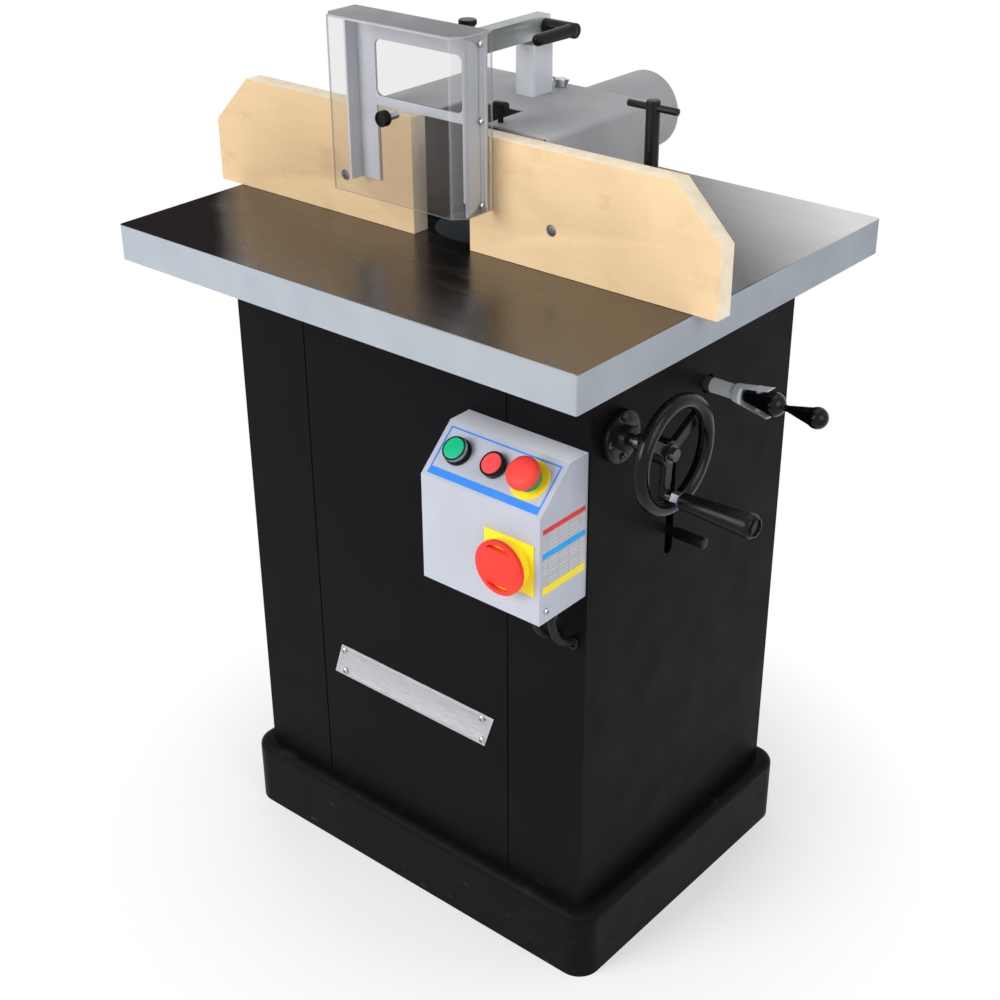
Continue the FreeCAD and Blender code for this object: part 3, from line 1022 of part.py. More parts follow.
node("guard_shield", cut(prism([("shield_left", outer_y), (f"guard_right - guard_corner + {bend}", outer_y),
                                (outer_x, f"guard_front + guard_corner - {bend}"), (outer_x, "guard_back"),
                                ("guard_right", "guard_back"),
                                ("guard_right", "guard_front + guard_corner"),
                                ("guard_right - guard_corner", "guard_front"),
                                ("shield_left", "guard_front")],
                               "guard_high - guard_low", ("0", "0", "guard_low"), "z"), *shield_holes,
                         rod("pull_stem + running_gap", "shield_wall + 2 * overrun",
                             ("pull_x", f"{outer_y} - overrun", "pull_z"), "y")))
node("guard_screws", group(*[
    fuse(rod("shield_screw_head", "shield_screw_thick", (outer_x, "shield_screw_y", z), "x"),
         rod("shield_screw", "guard_wall + shield_wall",
             ("guard_right - guard_wall", "shield_screw_y", z), "x"))
    for z in shield_levels]))
pull_low = f"({outer_y} - slide_gap)"
node("guard_knob", fuse(
    rod("pull_knob", "pull_thick", ("pull_x", pull_low, "pull_z"), "front"),
    rod("pull_stem", "shield_wall + 2 * slide_gap", ("pull_x", pull_low, "pull_z"), "y"),
    rod("pull_sleeve", "pull_sleeve_length", ("pull_x", "guard_front + slide_gap", "pull_z"), "y")))


doc.recompute()
faults = [piece.Name for piece in doc.Objects if "Invalid" in piece.State or "Error" in piece.State]
faults += [piece.Label for piece in nodes
           if piece.Shape.isNull() or not piece.Shape.isValid() or not piece.Shape.Solids]
if faults:
    raise RuntimeError("pieces that did not build: " + ", ".join(faults))
os.makedirs("parts", exist_ok=True)
for piece in nodes:
    piece.Shape.exportStep(f"parts/{piece.Label}.step")
    print(piece.Label, len(piece.Shape.Solids))
print(len(nodes), "nodes")
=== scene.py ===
import json
import math
import bpy
from mathutils import Matrix, Vector


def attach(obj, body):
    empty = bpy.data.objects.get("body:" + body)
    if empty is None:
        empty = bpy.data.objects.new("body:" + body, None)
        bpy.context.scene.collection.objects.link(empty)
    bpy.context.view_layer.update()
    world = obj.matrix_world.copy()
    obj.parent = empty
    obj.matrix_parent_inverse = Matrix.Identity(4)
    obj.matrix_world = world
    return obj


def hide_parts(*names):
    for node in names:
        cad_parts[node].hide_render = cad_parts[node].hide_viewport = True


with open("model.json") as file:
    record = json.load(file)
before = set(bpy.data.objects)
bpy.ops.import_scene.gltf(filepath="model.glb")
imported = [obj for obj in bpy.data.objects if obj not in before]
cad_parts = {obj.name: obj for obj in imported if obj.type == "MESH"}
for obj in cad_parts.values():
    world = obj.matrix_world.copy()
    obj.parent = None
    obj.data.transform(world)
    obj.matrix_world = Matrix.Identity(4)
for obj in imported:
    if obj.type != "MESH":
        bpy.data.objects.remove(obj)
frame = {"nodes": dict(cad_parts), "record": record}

mm = 0.001
# how far a face's normal has to point one way, and how near in mm counts as met
facing = {"hardly": 0.2, "some": 0.5, "most": 0.7, "full": 0.9}
near = {"seam": 0.01, "axis": 0.5}
flatTurn = 0.6        # faces that turn by fewer degrees count as one flat
nodes = frame["nodes"]
record = frame["record"]
slotOf = {row["node"]: row["material_slot"] for row in record["subparts"]}
bodyOf = {node: body for body, group in record["behaviour"]["bodies"].items() for node in group}
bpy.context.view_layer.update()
print("frame loaded with", len(nodes), "nodes")


# a joint's place in millimetres, from the record
def jointAt(name):
    row = next(row for row in record["behaviour"]["joints"] if row["name"] == name)
    return Vector(row["pos_m"]) / mm


# modelling helpers: lengths are in millimetres, as on the drawing
def alone(piece):
    if bpy.context.object and bpy.context.object.mode != "OBJECT":
        bpy.ops.object.mode_set(mode="OBJECT")
    bpy.ops.object.select_all(action="DESELECT")
    if piece:
        bpy.context.view_layer.objects.active = piece
        piece.select_set(True)
    return piece


def settled(name):
    piece = bpy.context.object
    piece.name = name
    piece.data.name = name
    bpy.ops.object.transform_apply(location=True, rotation=True, scale=True)
    return piece


def addBlock(name, low, high):
    alone(None)
    middle = [(a + b) / 2 * mm for a, b in zip(low, high)]
    extent = [(b - a) * mm for a, b in zip(low, high)]
    bpy.ops.mesh.primitive_cube_add(size=1, location=middle, scale=extent)
    return settled(name)


# a round piece: a disc drawn out station by station, each (height, radius)
def addTurned(name, stations, sides=48):
    alone(None)
    height, radius = stations[0]
    bpy.ops.mesh.primitive_circle_add(vertices=sides, radius=radius * mm, fill_type="NGON",
                                      location=(0, 0, height * mm))
    piece = settled(name)
    bpy.ops.object.mode_set(mode="EDIT")
    bpy.ops.mesh.select_all(action="SELECT")
    for nextHeight, nextRadius in stations[1:]:
        bpy.ops.mesh.extrude_region_move(
            TRANSFORM_OT_translate={"value": (0, 0, (nextHeight - height) * mm)})
        ratio = nextRadius / radius
        bpy.ops.transform.resize(value=(ratio, ratio, 1), center_override=(0, 0, nextHeight * mm))
        height, radius = nextHeight, nextRadius
    return editDone(piece)


# clears the selection for the next pick, which then leaves edit mode on
def unpicked(piece, kind):
    alone(piece)
    bpy.ops.object.mode_set(mode="EDIT")
    bpy.ops.mesh.select_mode(type=kind)
    bpy.ops.mesh.select_all(action="DESELECT")
    bpy.ops.object.mode_set(mode="OBJECT")


# picks faces by a test on centre (mm) and normal
def pickFaces(piece, test):
    unpicked(piece, "FACE")
    for face in piece.data.polygons:
        face.select = bool(test(face.center / mm, face.normal))
    bpy.ops.object.mode_set(mode="EDIT")


# picks points by a test on their place (mm)
def pickPoints(piece, test):
    unpicked(piece, "VERT")
    for point in piece.data.vertices:
        point.select = bool(test(point.co / mm))
    bpy.ops.object.mode_set(mode="EDIT")


def inset(thickness):
    bpy.ops.mesh.inset(thickness=thickness * mm)


def drawOut(distance):
    bpy.ops.mesh.extrude_region_shrink_fatten(
        TRANSFORM_OT_shrink_fatten={"value": distance * mm, "use_even_offset": True})


def editDone(piece):
    bpy.ops.mesh.select_all(action="SELECT")
    bpy.ops.mesh.normals_make_consistent(inside=False)
    bpy.ops.object.mode_set(mode="OBJECT")
    return piece


def applied(piece, kind, **values):
    alone(piece)
    step = piece.modifiers.new(kind.lower(), kind)
    for key, value in values.items():
        setattr(step, key, value)
    bpy.ops.object.modifier_apply(modifier=step.name)
    return piece


def rounded(piece, width, segments=2, angle=30):
    applied(piece, "BEVEL", width=width * mm, segments=segments, limit_method="ANGLE",
            angle_limit=math.radians(angle), use_clamp_overlap=True)
    return smooth(piece)


def smooth(piece, angle=32):
    alone(piece)
    bpy.ops.object.shade_smooth_by_angle(angle=math.radians(angle))
    return piece


def moved(piece, at=(0, 0, 0), turn=(0, 0, 0)):
    alone(piece)
    piece.rotation_euler = [math.radians(value) for value in turn]
    piece.location = [value * mm for value in at]
    bpy.ops.object.transform_apply(location=True, rotation=True, scale=True)
    return piece


def copied(piece, name, at=(0, 0, 0), turn=(0, 0, 0)):
    alone(piece)
    bpy.ops.object.duplicate()
    twin = bpy.context.object
    twin.name = name
    twin.data.name = name
    return moved(twin, at, turn)


def joined(pieces, name):
    alone(pieces[0])
    for piece in pieces:
        piece.select_set(True)
    bpy.ops.object.join()
    bpy.context.object.name = name
    bpy.context.object.data.name = name
    return bpy.context.object


# a drawing solid taken over as a mesh of its own, its seams merged
def taken(node, name):
    alone(None)
    piece = nodes[node].copy()
    piece.data = nodes[node].data.copy()
    bpy.context.scene.collection.objects.link(piece)
    for key in list(piece.keys()):
        del piece[key]
    piece.name = name
    piece.data.name = name
    alone(piece)
    bpy.ops.object.mode_set(mode="EDIT")
    bpy.ops.mesh.select_all(action="SELECT")
    bpy.ops.mesh.remove_doubles(threshold=near["seam"] * mm)
    bpy.ops.mesh.dissolve_limited(angle_limit=math.radians(flatTurn))
    return editDone(piece)


# a drawing solid turned into one soft casting
def cast(node, name, grain, passes):
    piece = taken(node, name)
    applied(piece, "REMESH", mode="VOXEL", voxel_size=grain * mm)
    applied(piece, "SMOOTH", factor=0.5, iterations=passes)
    return smooth(piece, angle=60)


# dresses a piece, lets it ride with a node's body and, if asked, stand for that node
def fitted(piece, node, *names, slot=None, stands=True):
    piece.data.materials.clear()
    for name in names or (slotOf[node],):
        piece.data.materials.append(finishes[name])
    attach(piece, bodyOf[node])
    if stands:
        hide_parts(node)
    return piece


# materials
def linear(*levels):
    return tuple(v / 12.92 if v <= 0.04045 else ((v + 0.055) / 1.055) ** 2.4
                 for v in (level / 255 for level in levels))


class Finish:
    def __init__(self, name, **values):
        self.material = bpy.data.materials.new(name)
        self.material.use_nodes = True
        self.tree = self.material.node_tree
        self.shader = self.tree.nodes["Principled BSDF"]
        self.coords = self.add("ShaderNodeTexCoord").outputs["Object"]
        self.set(**values)

    def add(self, kind, **values):
        made = self.tree.nodes.new(kind)
        for key, value in values.items():
            setattr(made, key, value)
        return made

    def set(self, **values):
        for key, value in values.items():
            self.shader.inputs[key.replace("_", " ")].default_value = value

    def link(self, source, target):
        self.tree.links.new(source, target)

    def noise(self, scale, detail=4.0, stretch=(1, 1, 1), distort=0.0):
        mapping = self.add("ShaderNodeMapping")
        mapping.inputs["Scale"].default_value = stretch
        self.link(self.coords, mapping.inputs["Vector"])
        noise = self.add("ShaderNodeTexNoise")
        noise.inputs["Scale"].default_value = scale
        noise.inputs["Detail"].default_value = detail
        noise.inputs["Distortion"].default_value = distort
        self.link(mapping.outputs["Vector"], noise.inputs["Vector"])
        return noise.outputs["Fac"]

    def colours(self, factor, stops):
        ramp = self.add("ShaderNodeValToRGB")
        while len(ramp.color_ramp.elements) < len(stops):
            ramp.color_ramp.elements.new(0.5)
        for element, (place, colour) in zip(ramp.color_ramp.elements, stops):
            element.position = place
            element.color = (*colour, 1)
        self.link(factor, ramp.inputs["Fac"])
        return ramp.outputs["Color"]

    def span(self, factor, low, high, start=0.3, end=0.7):
        spread = self.add("ShaderNodeMapRange")
        for key, value in (("From Min", start), ("From Max", end), ("To Min", low), ("To Max", high)):
            spread.inputs[key].default_value = value
        self.link(factor, spread.inputs["Value"])
        return spread.outputs["Result"]

    def sum(self, first, second, share=1.0):
        added = self.add("ShaderNodeMath", operation="MULTIPLY_ADD")
        self.link(second, added.inputs[0])
        added.inputs[1].default_value = share
        self.link(first, added.inputs[2])
        return added.outputs[0]

    def times(self, first, second):
        product = self.add("ShaderNodeMath", operation="MULTIPLY")
        self.link(first, product.inputs[0])
        self.link(second, product.inputs[1])
        return product.outputs[0]

    def mix(self, factor, first, second):
        blend = self.add("ShaderNodeMix", data_type="RGBA")
        self.link(factor, blend.inputs["Factor"])
        self.link(first, blend.inputs["A"])
        self.link(second, blend.inputs["B"])
        return blend.outputs["Result"]

    def along(self, axis):
        parts = self.add("ShaderNodeSeparateXYZ")
        self.link(self.coords, parts.inputs["Vector"])
        return parts.outputs[axis]

    def base(self, colour):
        self.link(colour, self.shader.inputs["Base Color"])

    def rough(self, value):
        self.link(value, self.shader.inputs["Roughness"])

    def bump(self, factor, depth, strength=0.5):
        bump = self.add("ShaderNodeBump")
        bump.inputs["Strength"].default_value = strength
        bump.inputs["Distance"].default_value = depth * mm
        self.link(factor, bump.inputs["Height"])
        self.link(bump.outputs["Normal"], self.shader.inputs["Normal"])


# paint or plastic: two near colours in soft clouds, a fine skin
def coated(name, dark, light, rough, cloud=14, skin=900, depth=0.03, gloss=0.22):
    finish = Finish(name, Specular_IOR_Level=gloss)
    clouds = finish.noise(cloud, 5)
    finish.base(finish.colours(clouds, ((0.32, linear(*dark)), (0.68, linear(*light)))))
    finish.rough(finish.span(finish.noise(cloud * 3, 3), rough[0], rough[1]))
    finish.bump(finish.noise(skin, 2), depth, 0.35)
    return finish.material


# bare metal: fine lines drawn out along one direction
def metal(name, dark, light, rough, lines, stretch=(1, 1, 1), depth=0.02):
    finish = Finish(name, Metallic=1.0)
    grain = finish.noise(lines, 4, stretch)
    finish.base(finish.colours(grain, ((0.3, linear(*dark)), (0.7, linear(*light)))))
    finish.rough(finish.span(grain, rough[0], rough[1]))
    finish.bump(grain, depth, 0.3)
    return finish.material


# black enamel, with grey scuffs low on the plinth
def blackPaintFinish():
    finish = Finish("blackPaint", Specular_IOR_Level=0.035)
    clouds = finish.noise(5, 6)
    body = finish.colours(clouds, ((0.3, linear(16, 15, 17)), (0.7, linear(20, 19, 21))))
    scuffs = finish.colours(finish.noise(30, 8, (1, 1, 2.2)),
                            ((0.62, linear(20, 19, 21)), (0.80, linear(60, 58, 58))))
    scuffsEnd = 0.14
    low = finish.span(finish.along("Z"), 1, 0, 0.0, scuffsEnd)
    finish.base(finish.mix(low, body, scuffs))
    finish.rough(finish.span(finish.noise(18, 5), 0.36, 0.5))
    finish.bump(finish.noise(650, 2), 0.04, 0.3)
    return finish.material


# ground iron top in a brownish oil tint under painted reflections: a painted dark reflection across one
# corner, brown tones across the middle that are part oil tint and part painted reflection of the boards, a
# dark band and a painted bright reflection towards the far edge; edges in grey paint
def tableFinish():
    finish = Finish("tableIron", Specular_IOR_Level=0.0)
    across = finish.sum(finish.along("X"), finish.along("Y"), 1.12)
    # a diagonal sweep across the top that places its painted reflections
    reflectionSweep = finish.sum(across, finish.noise(6, 6, (0.6, 1.4, 1), 0.6), 0.07)
    top = finish.colours(finish.span(reflectionSweep, 0, 1, -0.665, 0.735),
                         ((0.11, (0.022, 0.018, 0.018)), (0.15, (0.105, 0.096, 0.09)),
                          (0.30, (0.135, 0.125, 0.118)), (0.58, (0.14, 0.13, 0.12)),
                          (0.74, (0.07, 0.07, 0.07)), (0.83, (0.36, 0.365, 0.36)),
                          (0.92, (0.64, 0.65, 0.64))))
    side = finish.colours(finish.noise(16, 5), ((0.3, linear(159, 166, 174)), (0.7, linear(170, 176, 183))))
    tableTop = max(corner[2] for corner in nodes["table"].bound_box)
    face = finish.span(finish.along("Z"), 0, 1, tableTop - 1.4 * mm, tableTop - 0.6 * mm)
    finish.base(finish.mix(face, side, top))
    # the painted dark reflection in the corner is left non-metal so it stays dark; the rest of the top is
    # metal
    metalBeyondDarkCorner = finish.span(reflectionSweep, 0, 1, -0.50, -0.45)
    finish.link(finish.times(face, metalBeyondDarkCorner), finish.shader.inputs["Metallic"])
    finish.rough(finish.span(finish.noise(30, 6, (0.3, 2, 1)), 0.2, 0.3))
    finish.bump(finish.noise(420, 3, (0.25, 2.5, 1)), 0.006, 0.3)
    return finish.material


# fibre board: an even tan face with hand marks, a shade darker on the left board
def woodFinish():
    finish = Finish("fibreBoard", Specular_IOR_Level=0.12)
    grain = finish.noise(9, 8, (0.9, 6, 9), 1.2)
    rightFace = finish.colours(grain, ((0.30, linear(236, 204, 160)), (0.72, linear(241, 212, 169))))
    leftFace = finish.colours(grain, ((0.30, linear(213, 182, 142)), (0.72, linear(219, 191, 151))))
    smudge = finish.colours(finish.noise(20, 7, (1, 1, 1.6)),
                            ((0.26, linear(184, 148, 104)), (0.42, linear(224, 194, 152))))
    gap = 0.04
    clean = finish.mix(finish.span(finish.along("X"), 0, 1, -gap, gap), leftFace, rightFace)
    finish.base(finish.mix(finish.span(finish.noise(9, 4), 0.0, 0.62), clean, smudge))
    finish.rough(finish.span(grain, 0.55, 0.7))
    finish.bump(finish.noise(260, 4), 0.05, 0.3)
    return finish.material


def clearFinish(name, tint, alpha):
    finish = Finish(name, Alpha=alpha, Specular_IOR_Level=0.5)
    finish.base(finish.colours(finish.noise(12, 3), ((0.3, linear(*tint)),
                                                     (0.7, linear(*[v * 0.94 for v in tint])))))
    finish.rough(finish.span(finish.noise(40, 4), 0.03, 0.09))
    return finish.material


# the shield's bend: a painted highlight line where it starts, a painted dark reflection line where it ends
def paintedBendReflectionFinish():
    finish = Finish("clearBendPaintedReflections", Alpha=0.2, Specular_IOR_Level=0.5)
    across = finish.sum(finish.along("X"), finish.noise(60, 3, (1, 1, 0.1)), 0.001)
    bend = (0.060, 0.078)
    finish.base(finish.colours(finish.span(across, 0, 1, *bend),
                               ((0.1, linear(246, 248, 250)), (0.2, linear(168, 168, 170)),
                                (0.74, linear(150, 150, 152)), (0.84, linear(46, 46, 50)))))
    finish.rough(finish.span(finish.noise(40, 4), 0.03, 0.09))
    return finish.material


# zinc on the arm's cheek, with painted shade towards the front and a painted highlight towards the pivot
def paintedCheekLightFinish():
    finish = Finish("zincCheekPaintedLight", Metallic=0.6)
    across = finish.sum(finish.along("Y"), finish.noise(40, 4, (1, 0.3, 1)), 0.03)
    cheek = (-0.08, 0.06)
    finish.base(finish.colours(finish.span(across, 0, 1, *cheek),
                               ((0.15, linear(92, 100, 100)), (0.6, linear(134, 141, 141)),
                                (0.86, linear(206, 212, 212)))))
    finish.rough(finish.span(finish.noise(60, 4), 0.34, 0.46))
    return finish.material


# light enamel on the fork outside the cabinet, oiled steel on the screw inside
def forkFinish():
    finish = Finish("forkEnamel", Specular_IOR_Level=0.25)
    cloud = finish.noise(40, 4)
    enamel = finish.colours(cloud, ((0.3, linear(196, 201, 206)), (0.7, linear(208, 212, 216))))
    steel = finish.colours(cloud, ((0.3, linear(56, 57, 60)), (0.7, linear(74, 75, 78))))
    enamelled = (0.288, 0.2885)
    finish.base(finish.mix(finish.span(finish.along("X"), 0, 1, *enamelled), steel, enamel))
    finish.rough(finish.span(cloud, 0.36, 0.5))
    finish.bump(finish.noise(500, 2), 0.03, 0.3)
    return finish.material


# a ruled card with empty rows
def ruledFinish():
    finish = Finish("ruledCard", Specular_IOR_Level=0.2)
    flat = finish.add("ShaderNodeCombineXYZ")
    finish.link(finish.along("Y"), flat.inputs["X"])
    finish.link(finish.along("Z"), flat.inputs["Y"])
    rows = finish.add("ShaderNodeTexBrick", offset=0.0)
    finish.link(flat.outputs[0], rows.inputs["Vector"])
    for key, value in (("Scale", 1.0), ("Mortar Size", 0.00022), ("Mortar Smooth", 0.2),
                       ("Brick Width", 0.0185), ("Row Height", 0.0046)):
        rows.inputs[key].default_value = value
    rows.inputs["Color1"].default_value = (*linear(196, 198, 203), 1)
    rows.inputs["Color2"].default_value = (*linear(186, 188, 194), 1)
    rows.inputs["Mortar"].default_value = (*linear(112, 114, 120), 1)
    finish.base(rows.outputs["Color"])
    finish.rough(finish.span(finish.noise(60, 3), 0.4, 0.5))
    return finish.material


finishes = {
    "black_paint": blackPaintFinish(),
    "table_iron": tableFinish(),
    "plate_metal": metal("brushedPlate", (176, 177, 180), (214, 215, 218), (0.34, 0.46), 60, (1, 1, 40)),
    "box_grey": coated("boxGrey", (180, 184, 196), (190, 194, 205), (0.4, 0.5), 12, 800, 0.04),
    # a lighter grey for the box's top faces: painted light under the table's shade
    "boxTopPaintedLight": coated("boxTopPaintedLight", (236, 239, 246), (244, 246, 252), (0.4, 0.5), 12, 800, 0.04),
    "black_plastic": coated("blackPlastic", (11, 11, 12), (16, 16, 17), (0.24, 0.34), 30, 900, 0.015, 0.15),
    "yellow_plastic": coated("yellowPlastic", (250, 224, 26), (255, 232, 48), (0.34, 0.44), 20),
    "wheelBlack": coated("wheelBlack", (7, 7, 8), (11, 11, 12), (0.14, 0.22), 30, 900, 0.008, 0.19),
    "green_plastic": coated("greenPlastic", (4, 176, 122), (10, 196, 138), (0.3, 0.4), 30),
    "red_plastic": coated("redPlastic", (240, 50, 40), (250, 62, 50), (0.28, 0.38), 26),
    "cable_rubber": coated("cableRubber", (17, 17, 18), (25, 25, 26), (0.5, 0.62), 40, 1200, 0.03),
    "bright_steel": metal("brightSteel", (170, 172, 176), (192, 194, 198), (0.24, 0.34), 60, depth=0.004),
    "zinc": metal("zincPlate", (146, 149, 148), (182, 185, 184), (0.34, 0.5), 60, (1, 0.2, 1)),
    "cast_grey": coated("castGrey", (98, 99, 102), (122, 123, 126), (0.55, 0.7), 24, 300, 0.12),
    "motor_paint": coated("motorPaint", (108, 120, 136), (124, 136, 150), (0.4, 0.52), 16, 500, 0.05),
    "belt_rubber": coated("beltRubber", (30, 30, 31), (42, 42, 43), (0.6, 0.74), 50, 600, 0.05),
    "sheet_grey": coated("sheetGrey", (158, 159, 162), (170, 171, 174), (0.42, 0.56), 10, 600, 0.04),
    "beech": woodFinish(),
    "sawnEdge": coated("sawnEdge", (238, 222, 194), (250, 238, 214), (0.6, 0.72), 60, 300, 0.08, 0.1),
    "black_steel": coated("blackSteel", (18, 18, 20), (25, 25, 27), (0.3, 0.42), 24, 500, 0.03, 0.18),
    "clear_sheet": clearFinish("clearSheet", (122, 114, 110), 0.11),
    "clearEdge": clearFinish("clearEdge", (168, 164, 160), 0.6),
    "clearBendPaintedReflections": paintedBendReflectionFinish(),
    "zincCheekPaintedLight": paintedCheekLightFinish(),
    "postGrey": coated("postGrey", (206, 209, 216), (216, 219, 226), (0.2, 0.28), 12, 700, 0.01, 0.5),
    "guardGrey": coated("guardGrey", (198, 202, 210), (211, 215, 223), (0.38, 0.5), 14, 700, 0.03),
    # a darker grey for the guard frame's top faces: painted shade
    "guardTopPaintedShade": coated("guardTopPaintedShade", (122, 122, 126), (132, 132, 136), (0.4, 0.52), 14, 700, 0.03),
    "forkEnamel": forkFinish(),
    "darkSteel": metal("darkSteel", (54, 55, 58), (92, 93, 97), (0.3, 0.42), 120),
    "boltSteel": metal("boltSteel", (84, 86, 94), (120, 122, 130), (0.36, 0.48), 120),
    "stopRed": coated("stopRed", (240, 66, 70), (250, 80, 84), (0.34, 0.44), 30),
    "headRed": coated("headRed", (236, 62, 54), (246, 74, 64), (0.4, 0.5), 30),
    "lineBlue": coated("lineBlue", (52, 134, 232), (62, 144, 242), (0.4, 0.5), 40),
    "bandBlue": coated("bandBlue", (30, 160, 232), (40, 170, 242), (0.4, 0.5), 40),
    "bandRed": coated("bandRed", (214, 44, 50), (226, 54, 60), (0.4, 0.5), 40),
    "ruledCard": ruledFinish(),
    "discGreen": coated("discGreen", (60, 140, 96), (72, 152, 108), (0.4, 0.5), 40),
}
for node, slot in slotOf.items():
    mesh = nodes[node].data
    mesh.materials.clear()
    mesh.materials.append(finishes[slot])
nodes["handwheel_shaft"].data.materials[0] = finishes["darkSteel"]
print("materials set on every drawing solid")


# softened copies of the drawing's sheet and block pieces: edge radius in mm
softEdges = {
    "hood": {"name": "hoodSheet", "edge": 0.9},
    "dust_pipe": {"name": "dustSpout", "edge": 0.8},
    "guard_post": {"name": "guardPost", "edge": 1.2, "finish": "postGrey"},
    "shaft_flange": {"name": "wheelBearing", "edge": 1.0},
    "clamp_screw_left": {"name": "clampTeeLeft", "edge": 0.9},
    "clamp_screw_right": {"name": "clampTeeRight", "edge": 0.9},
    "lock_pin": {"name": "lockRod", "edge": 0.8},
    "door_latch": {"name": "doorLatch", "edge": 0.9},
    "main_switch": {"name": "switchDial", "edge": 1.0, "steps": 3},
}
for node, soft in softEdges.items():
    piece = rounded(taken(node, soft["name"]), soft["edge"], soft.get("steps", 2))
    fitted(piece, node, soft.get("finish", slotOf[node]))
print("sheet and block edges softened")


# a softened copy in two finishes: the test on centre (mm) and normal says which faces take the second
def addTwoToned(node, settings, test):
    piece = rounded(taken(node, settings["name"]), settings["edge"], settings.get("steps", 2))
    fitted(piece, node, *settings["finishes"])
    for face in piece.data.polygons:
        face.material_index = int(test(face.center / mm, face.normal))


boards = {"edge": 1.0, "finishes": ("beech", "sawnEdge"), "faceTurn": 0.8}
# the bolt heads stand in front of the backing plates
backings = {"edge": 0.5, "finishes": ("black_steel", "boltSteel"), "boltsBefore": -103.5}
guardFrame = {"name": "guardFrame", "edge": 0.6, "finishes": ("guardGrey", "guardTopPaintedShade")}
guardArm = {"name": "guardArm", "edge": 0.7, "finishes": ("zinc", "zincCheekPaintedLight")}
boxHousing = {"name": "boxHousing", "edge": 1.6, "steps": 3, "finishes": ("box_grey", "boxTopPaintedLight")}
for side in ("left", "right"):
    addTwoToned(f"fence_board_{side}", {**boards, "name": f"board{side.capitalize()}"},
                lambda at, turn: abs(turn.y) < boards["faceTurn"])
    addTwoToned(f"fence_plate_{side}", {**backings, "name": f"backing{side.capitalize()}"},
                lambda at, turn: at.y < backings["boltsBefore"])
# the guard frame's top faces take the darker grey, painted shade
addTwoToned("guard_frame", guardFrame, lambda at, turn: turn.z > facing["most"])
# the arm's right cheek takes the painted shade and painted highlight
addTwoToned("guard_arm", guardArm, lambda at, turn: turn.x > facing["most"])
# the box's top faces take the lighter grey, painted light
addTwoToned("control_box", boxHousing, lambda at, turn: turn.z > facing["full"])


# clear shield: faint sheet, bends with a painted highlight line and a painted dark reflection line, and
# brighter cut edges
def addShield(settings):
    shield = smooth(taken("guard_shield", settings["name"]))
    fitted(shield, "guard_shield", "clear_sheet", "clearBendPaintedReflections", "clearEdge")
    for face in shield.data.polygons:
        turn = sorted(abs(value) for value in face.normal)
        # bend faces take the painted highlight and dark reflection lines
        if turn[1] > settings["bendTurn"]:
            face.material_index = 1
        elif face.area < settings["edgeArea"] * mm * mm:
            face.material_index = 2


addShield({"name": "clearShield", "bendTurn": 0.2, "edgeArea": 900})

# castings: voxel in mm and passes of smoothing
castings = {
    "handwheel": {"name": "wheelCasting", "voxel": 1.1, "passes": 5, "finish": "wheelBlack"},
    "lock_screw": {"name": "lockFork", "voxel": 0.6, "passes": 6, "finish": "forkEnamel"},
    "lock_lever": {"name": "lockLever", "voxel": 0.8, "passes": 6, "finish": "wheelBlack"},
    "clamp_lever": {"name": "clampLever", "voxel": 0.7, "passes": 5},
    "wing_nut": {"name": "wingNut", "voxel": 0.5, "passes": 5},
}
for node, form in castings.items():
    fitted(cast(node, form["name"], form["voxel"], form["passes"]), node, form.get("finish", slotOf[node]))
print("boards, shield and castings made")

# round-head screws: the head's profile and its cross recess as shares of thickness and radius
screwShares = {"profile": ((0, 1), (0.42, 1), (0.78, 0.8), (1, 0.45)), "reach": 0.56, "half": 0.12,
               "floor": 0.5, "clear": 2}


def addScrew(name, radius, thick, sides=32):
    head = addTurned(name, [(thick * up, radius * out) for up, out in screwShares["profile"]], sides)
    reach, half = radius * screwShares["reach"], radius * screwShares["half"]
    for wide, deep in ((reach, half), (half, reach)):
        bar = addBlock("recessBar", (-wide, -deep, thick * screwShares["floor"]),
                       (wide, deep, thick * screwShares["clear"]))
        applied(head, "BOOLEAN", operation="DIFFERENCE", object=bar, solver="EXACT")
        bpy.data.objects.remove(bar)
    return smooth(head, angle=40)


def placeScrews(settings, node):
    pattern = addScrew("screwPattern", settings["radius"], settings["thick"])
    for place in settings["places"]:
        for count, at in enumerate(place["at"], start=1):
            screw = copied(pattern, f"{place['name']}{count}", at, place["turn"])
            fitted(screw, node, place.get("finish", slotOf[node]))
    bpy.data.objects.remove(pattern)


front, rightward, backward = (90, 0, 0), (0, 90, 0), (-90, 0, 0)
wheel = jointAt("handwheel_turn")
flangeBolts = {"face": 289.5, "circle": 24.5, "ways": ((1, 0), (0, 1), (-1, 0), (0, -1))}
placeScrews({"radius": 4.5, "thick": 2.6, "places": (
    {"name": "plateScrew", "turn": front,
     "at": [(x, -209.5, z) for x in (-121.5, 121.5) for z in (287, 320)]},
    {"name": "flangeScrew", "turn": rightward, "finish": "darkSteel",
     "at": [(flangeBolts["face"], wheel.y + y * flangeBolts["circle"], wheel.z + z * flangeBolts["circle"])
            for y, z in flangeBolts["ways"]]},
    {"name": "boxScrew", "turn": rightward, "at": [(279, -279.5, 578)]},
)}, "body_screws")
placeScrews({"radius": 4.0, "thick": 2.2, "places": (
    {"name": "guardScrew", "turn": rightward, "at": [(77, -146, z) for z in (967, 1062, 1146)]},
)}, "guard_screws")
print("screws set")


# blank name plate with slanted ends and a raised rim
def addPlate(settings):
    plate = addBlock(settings["name"], settings["low"], settings["high"])
    for way in (-1, 1):
        pickFaces(plate, lambda at, turn: turn.z * way > facing["some"])
        bpy.ops.transform.translate(value=(way * settings["slant"] / 2 * mm, 0, 0))
    pickFaces(plate, lambda at, turn: turn.y < -facing["some"])
    inset(settings["rim"])
    drawOut(-settings["sunk"])
    editDone(plate)
    fitted(rounded(plate, settings["edge"]), "name_plate")


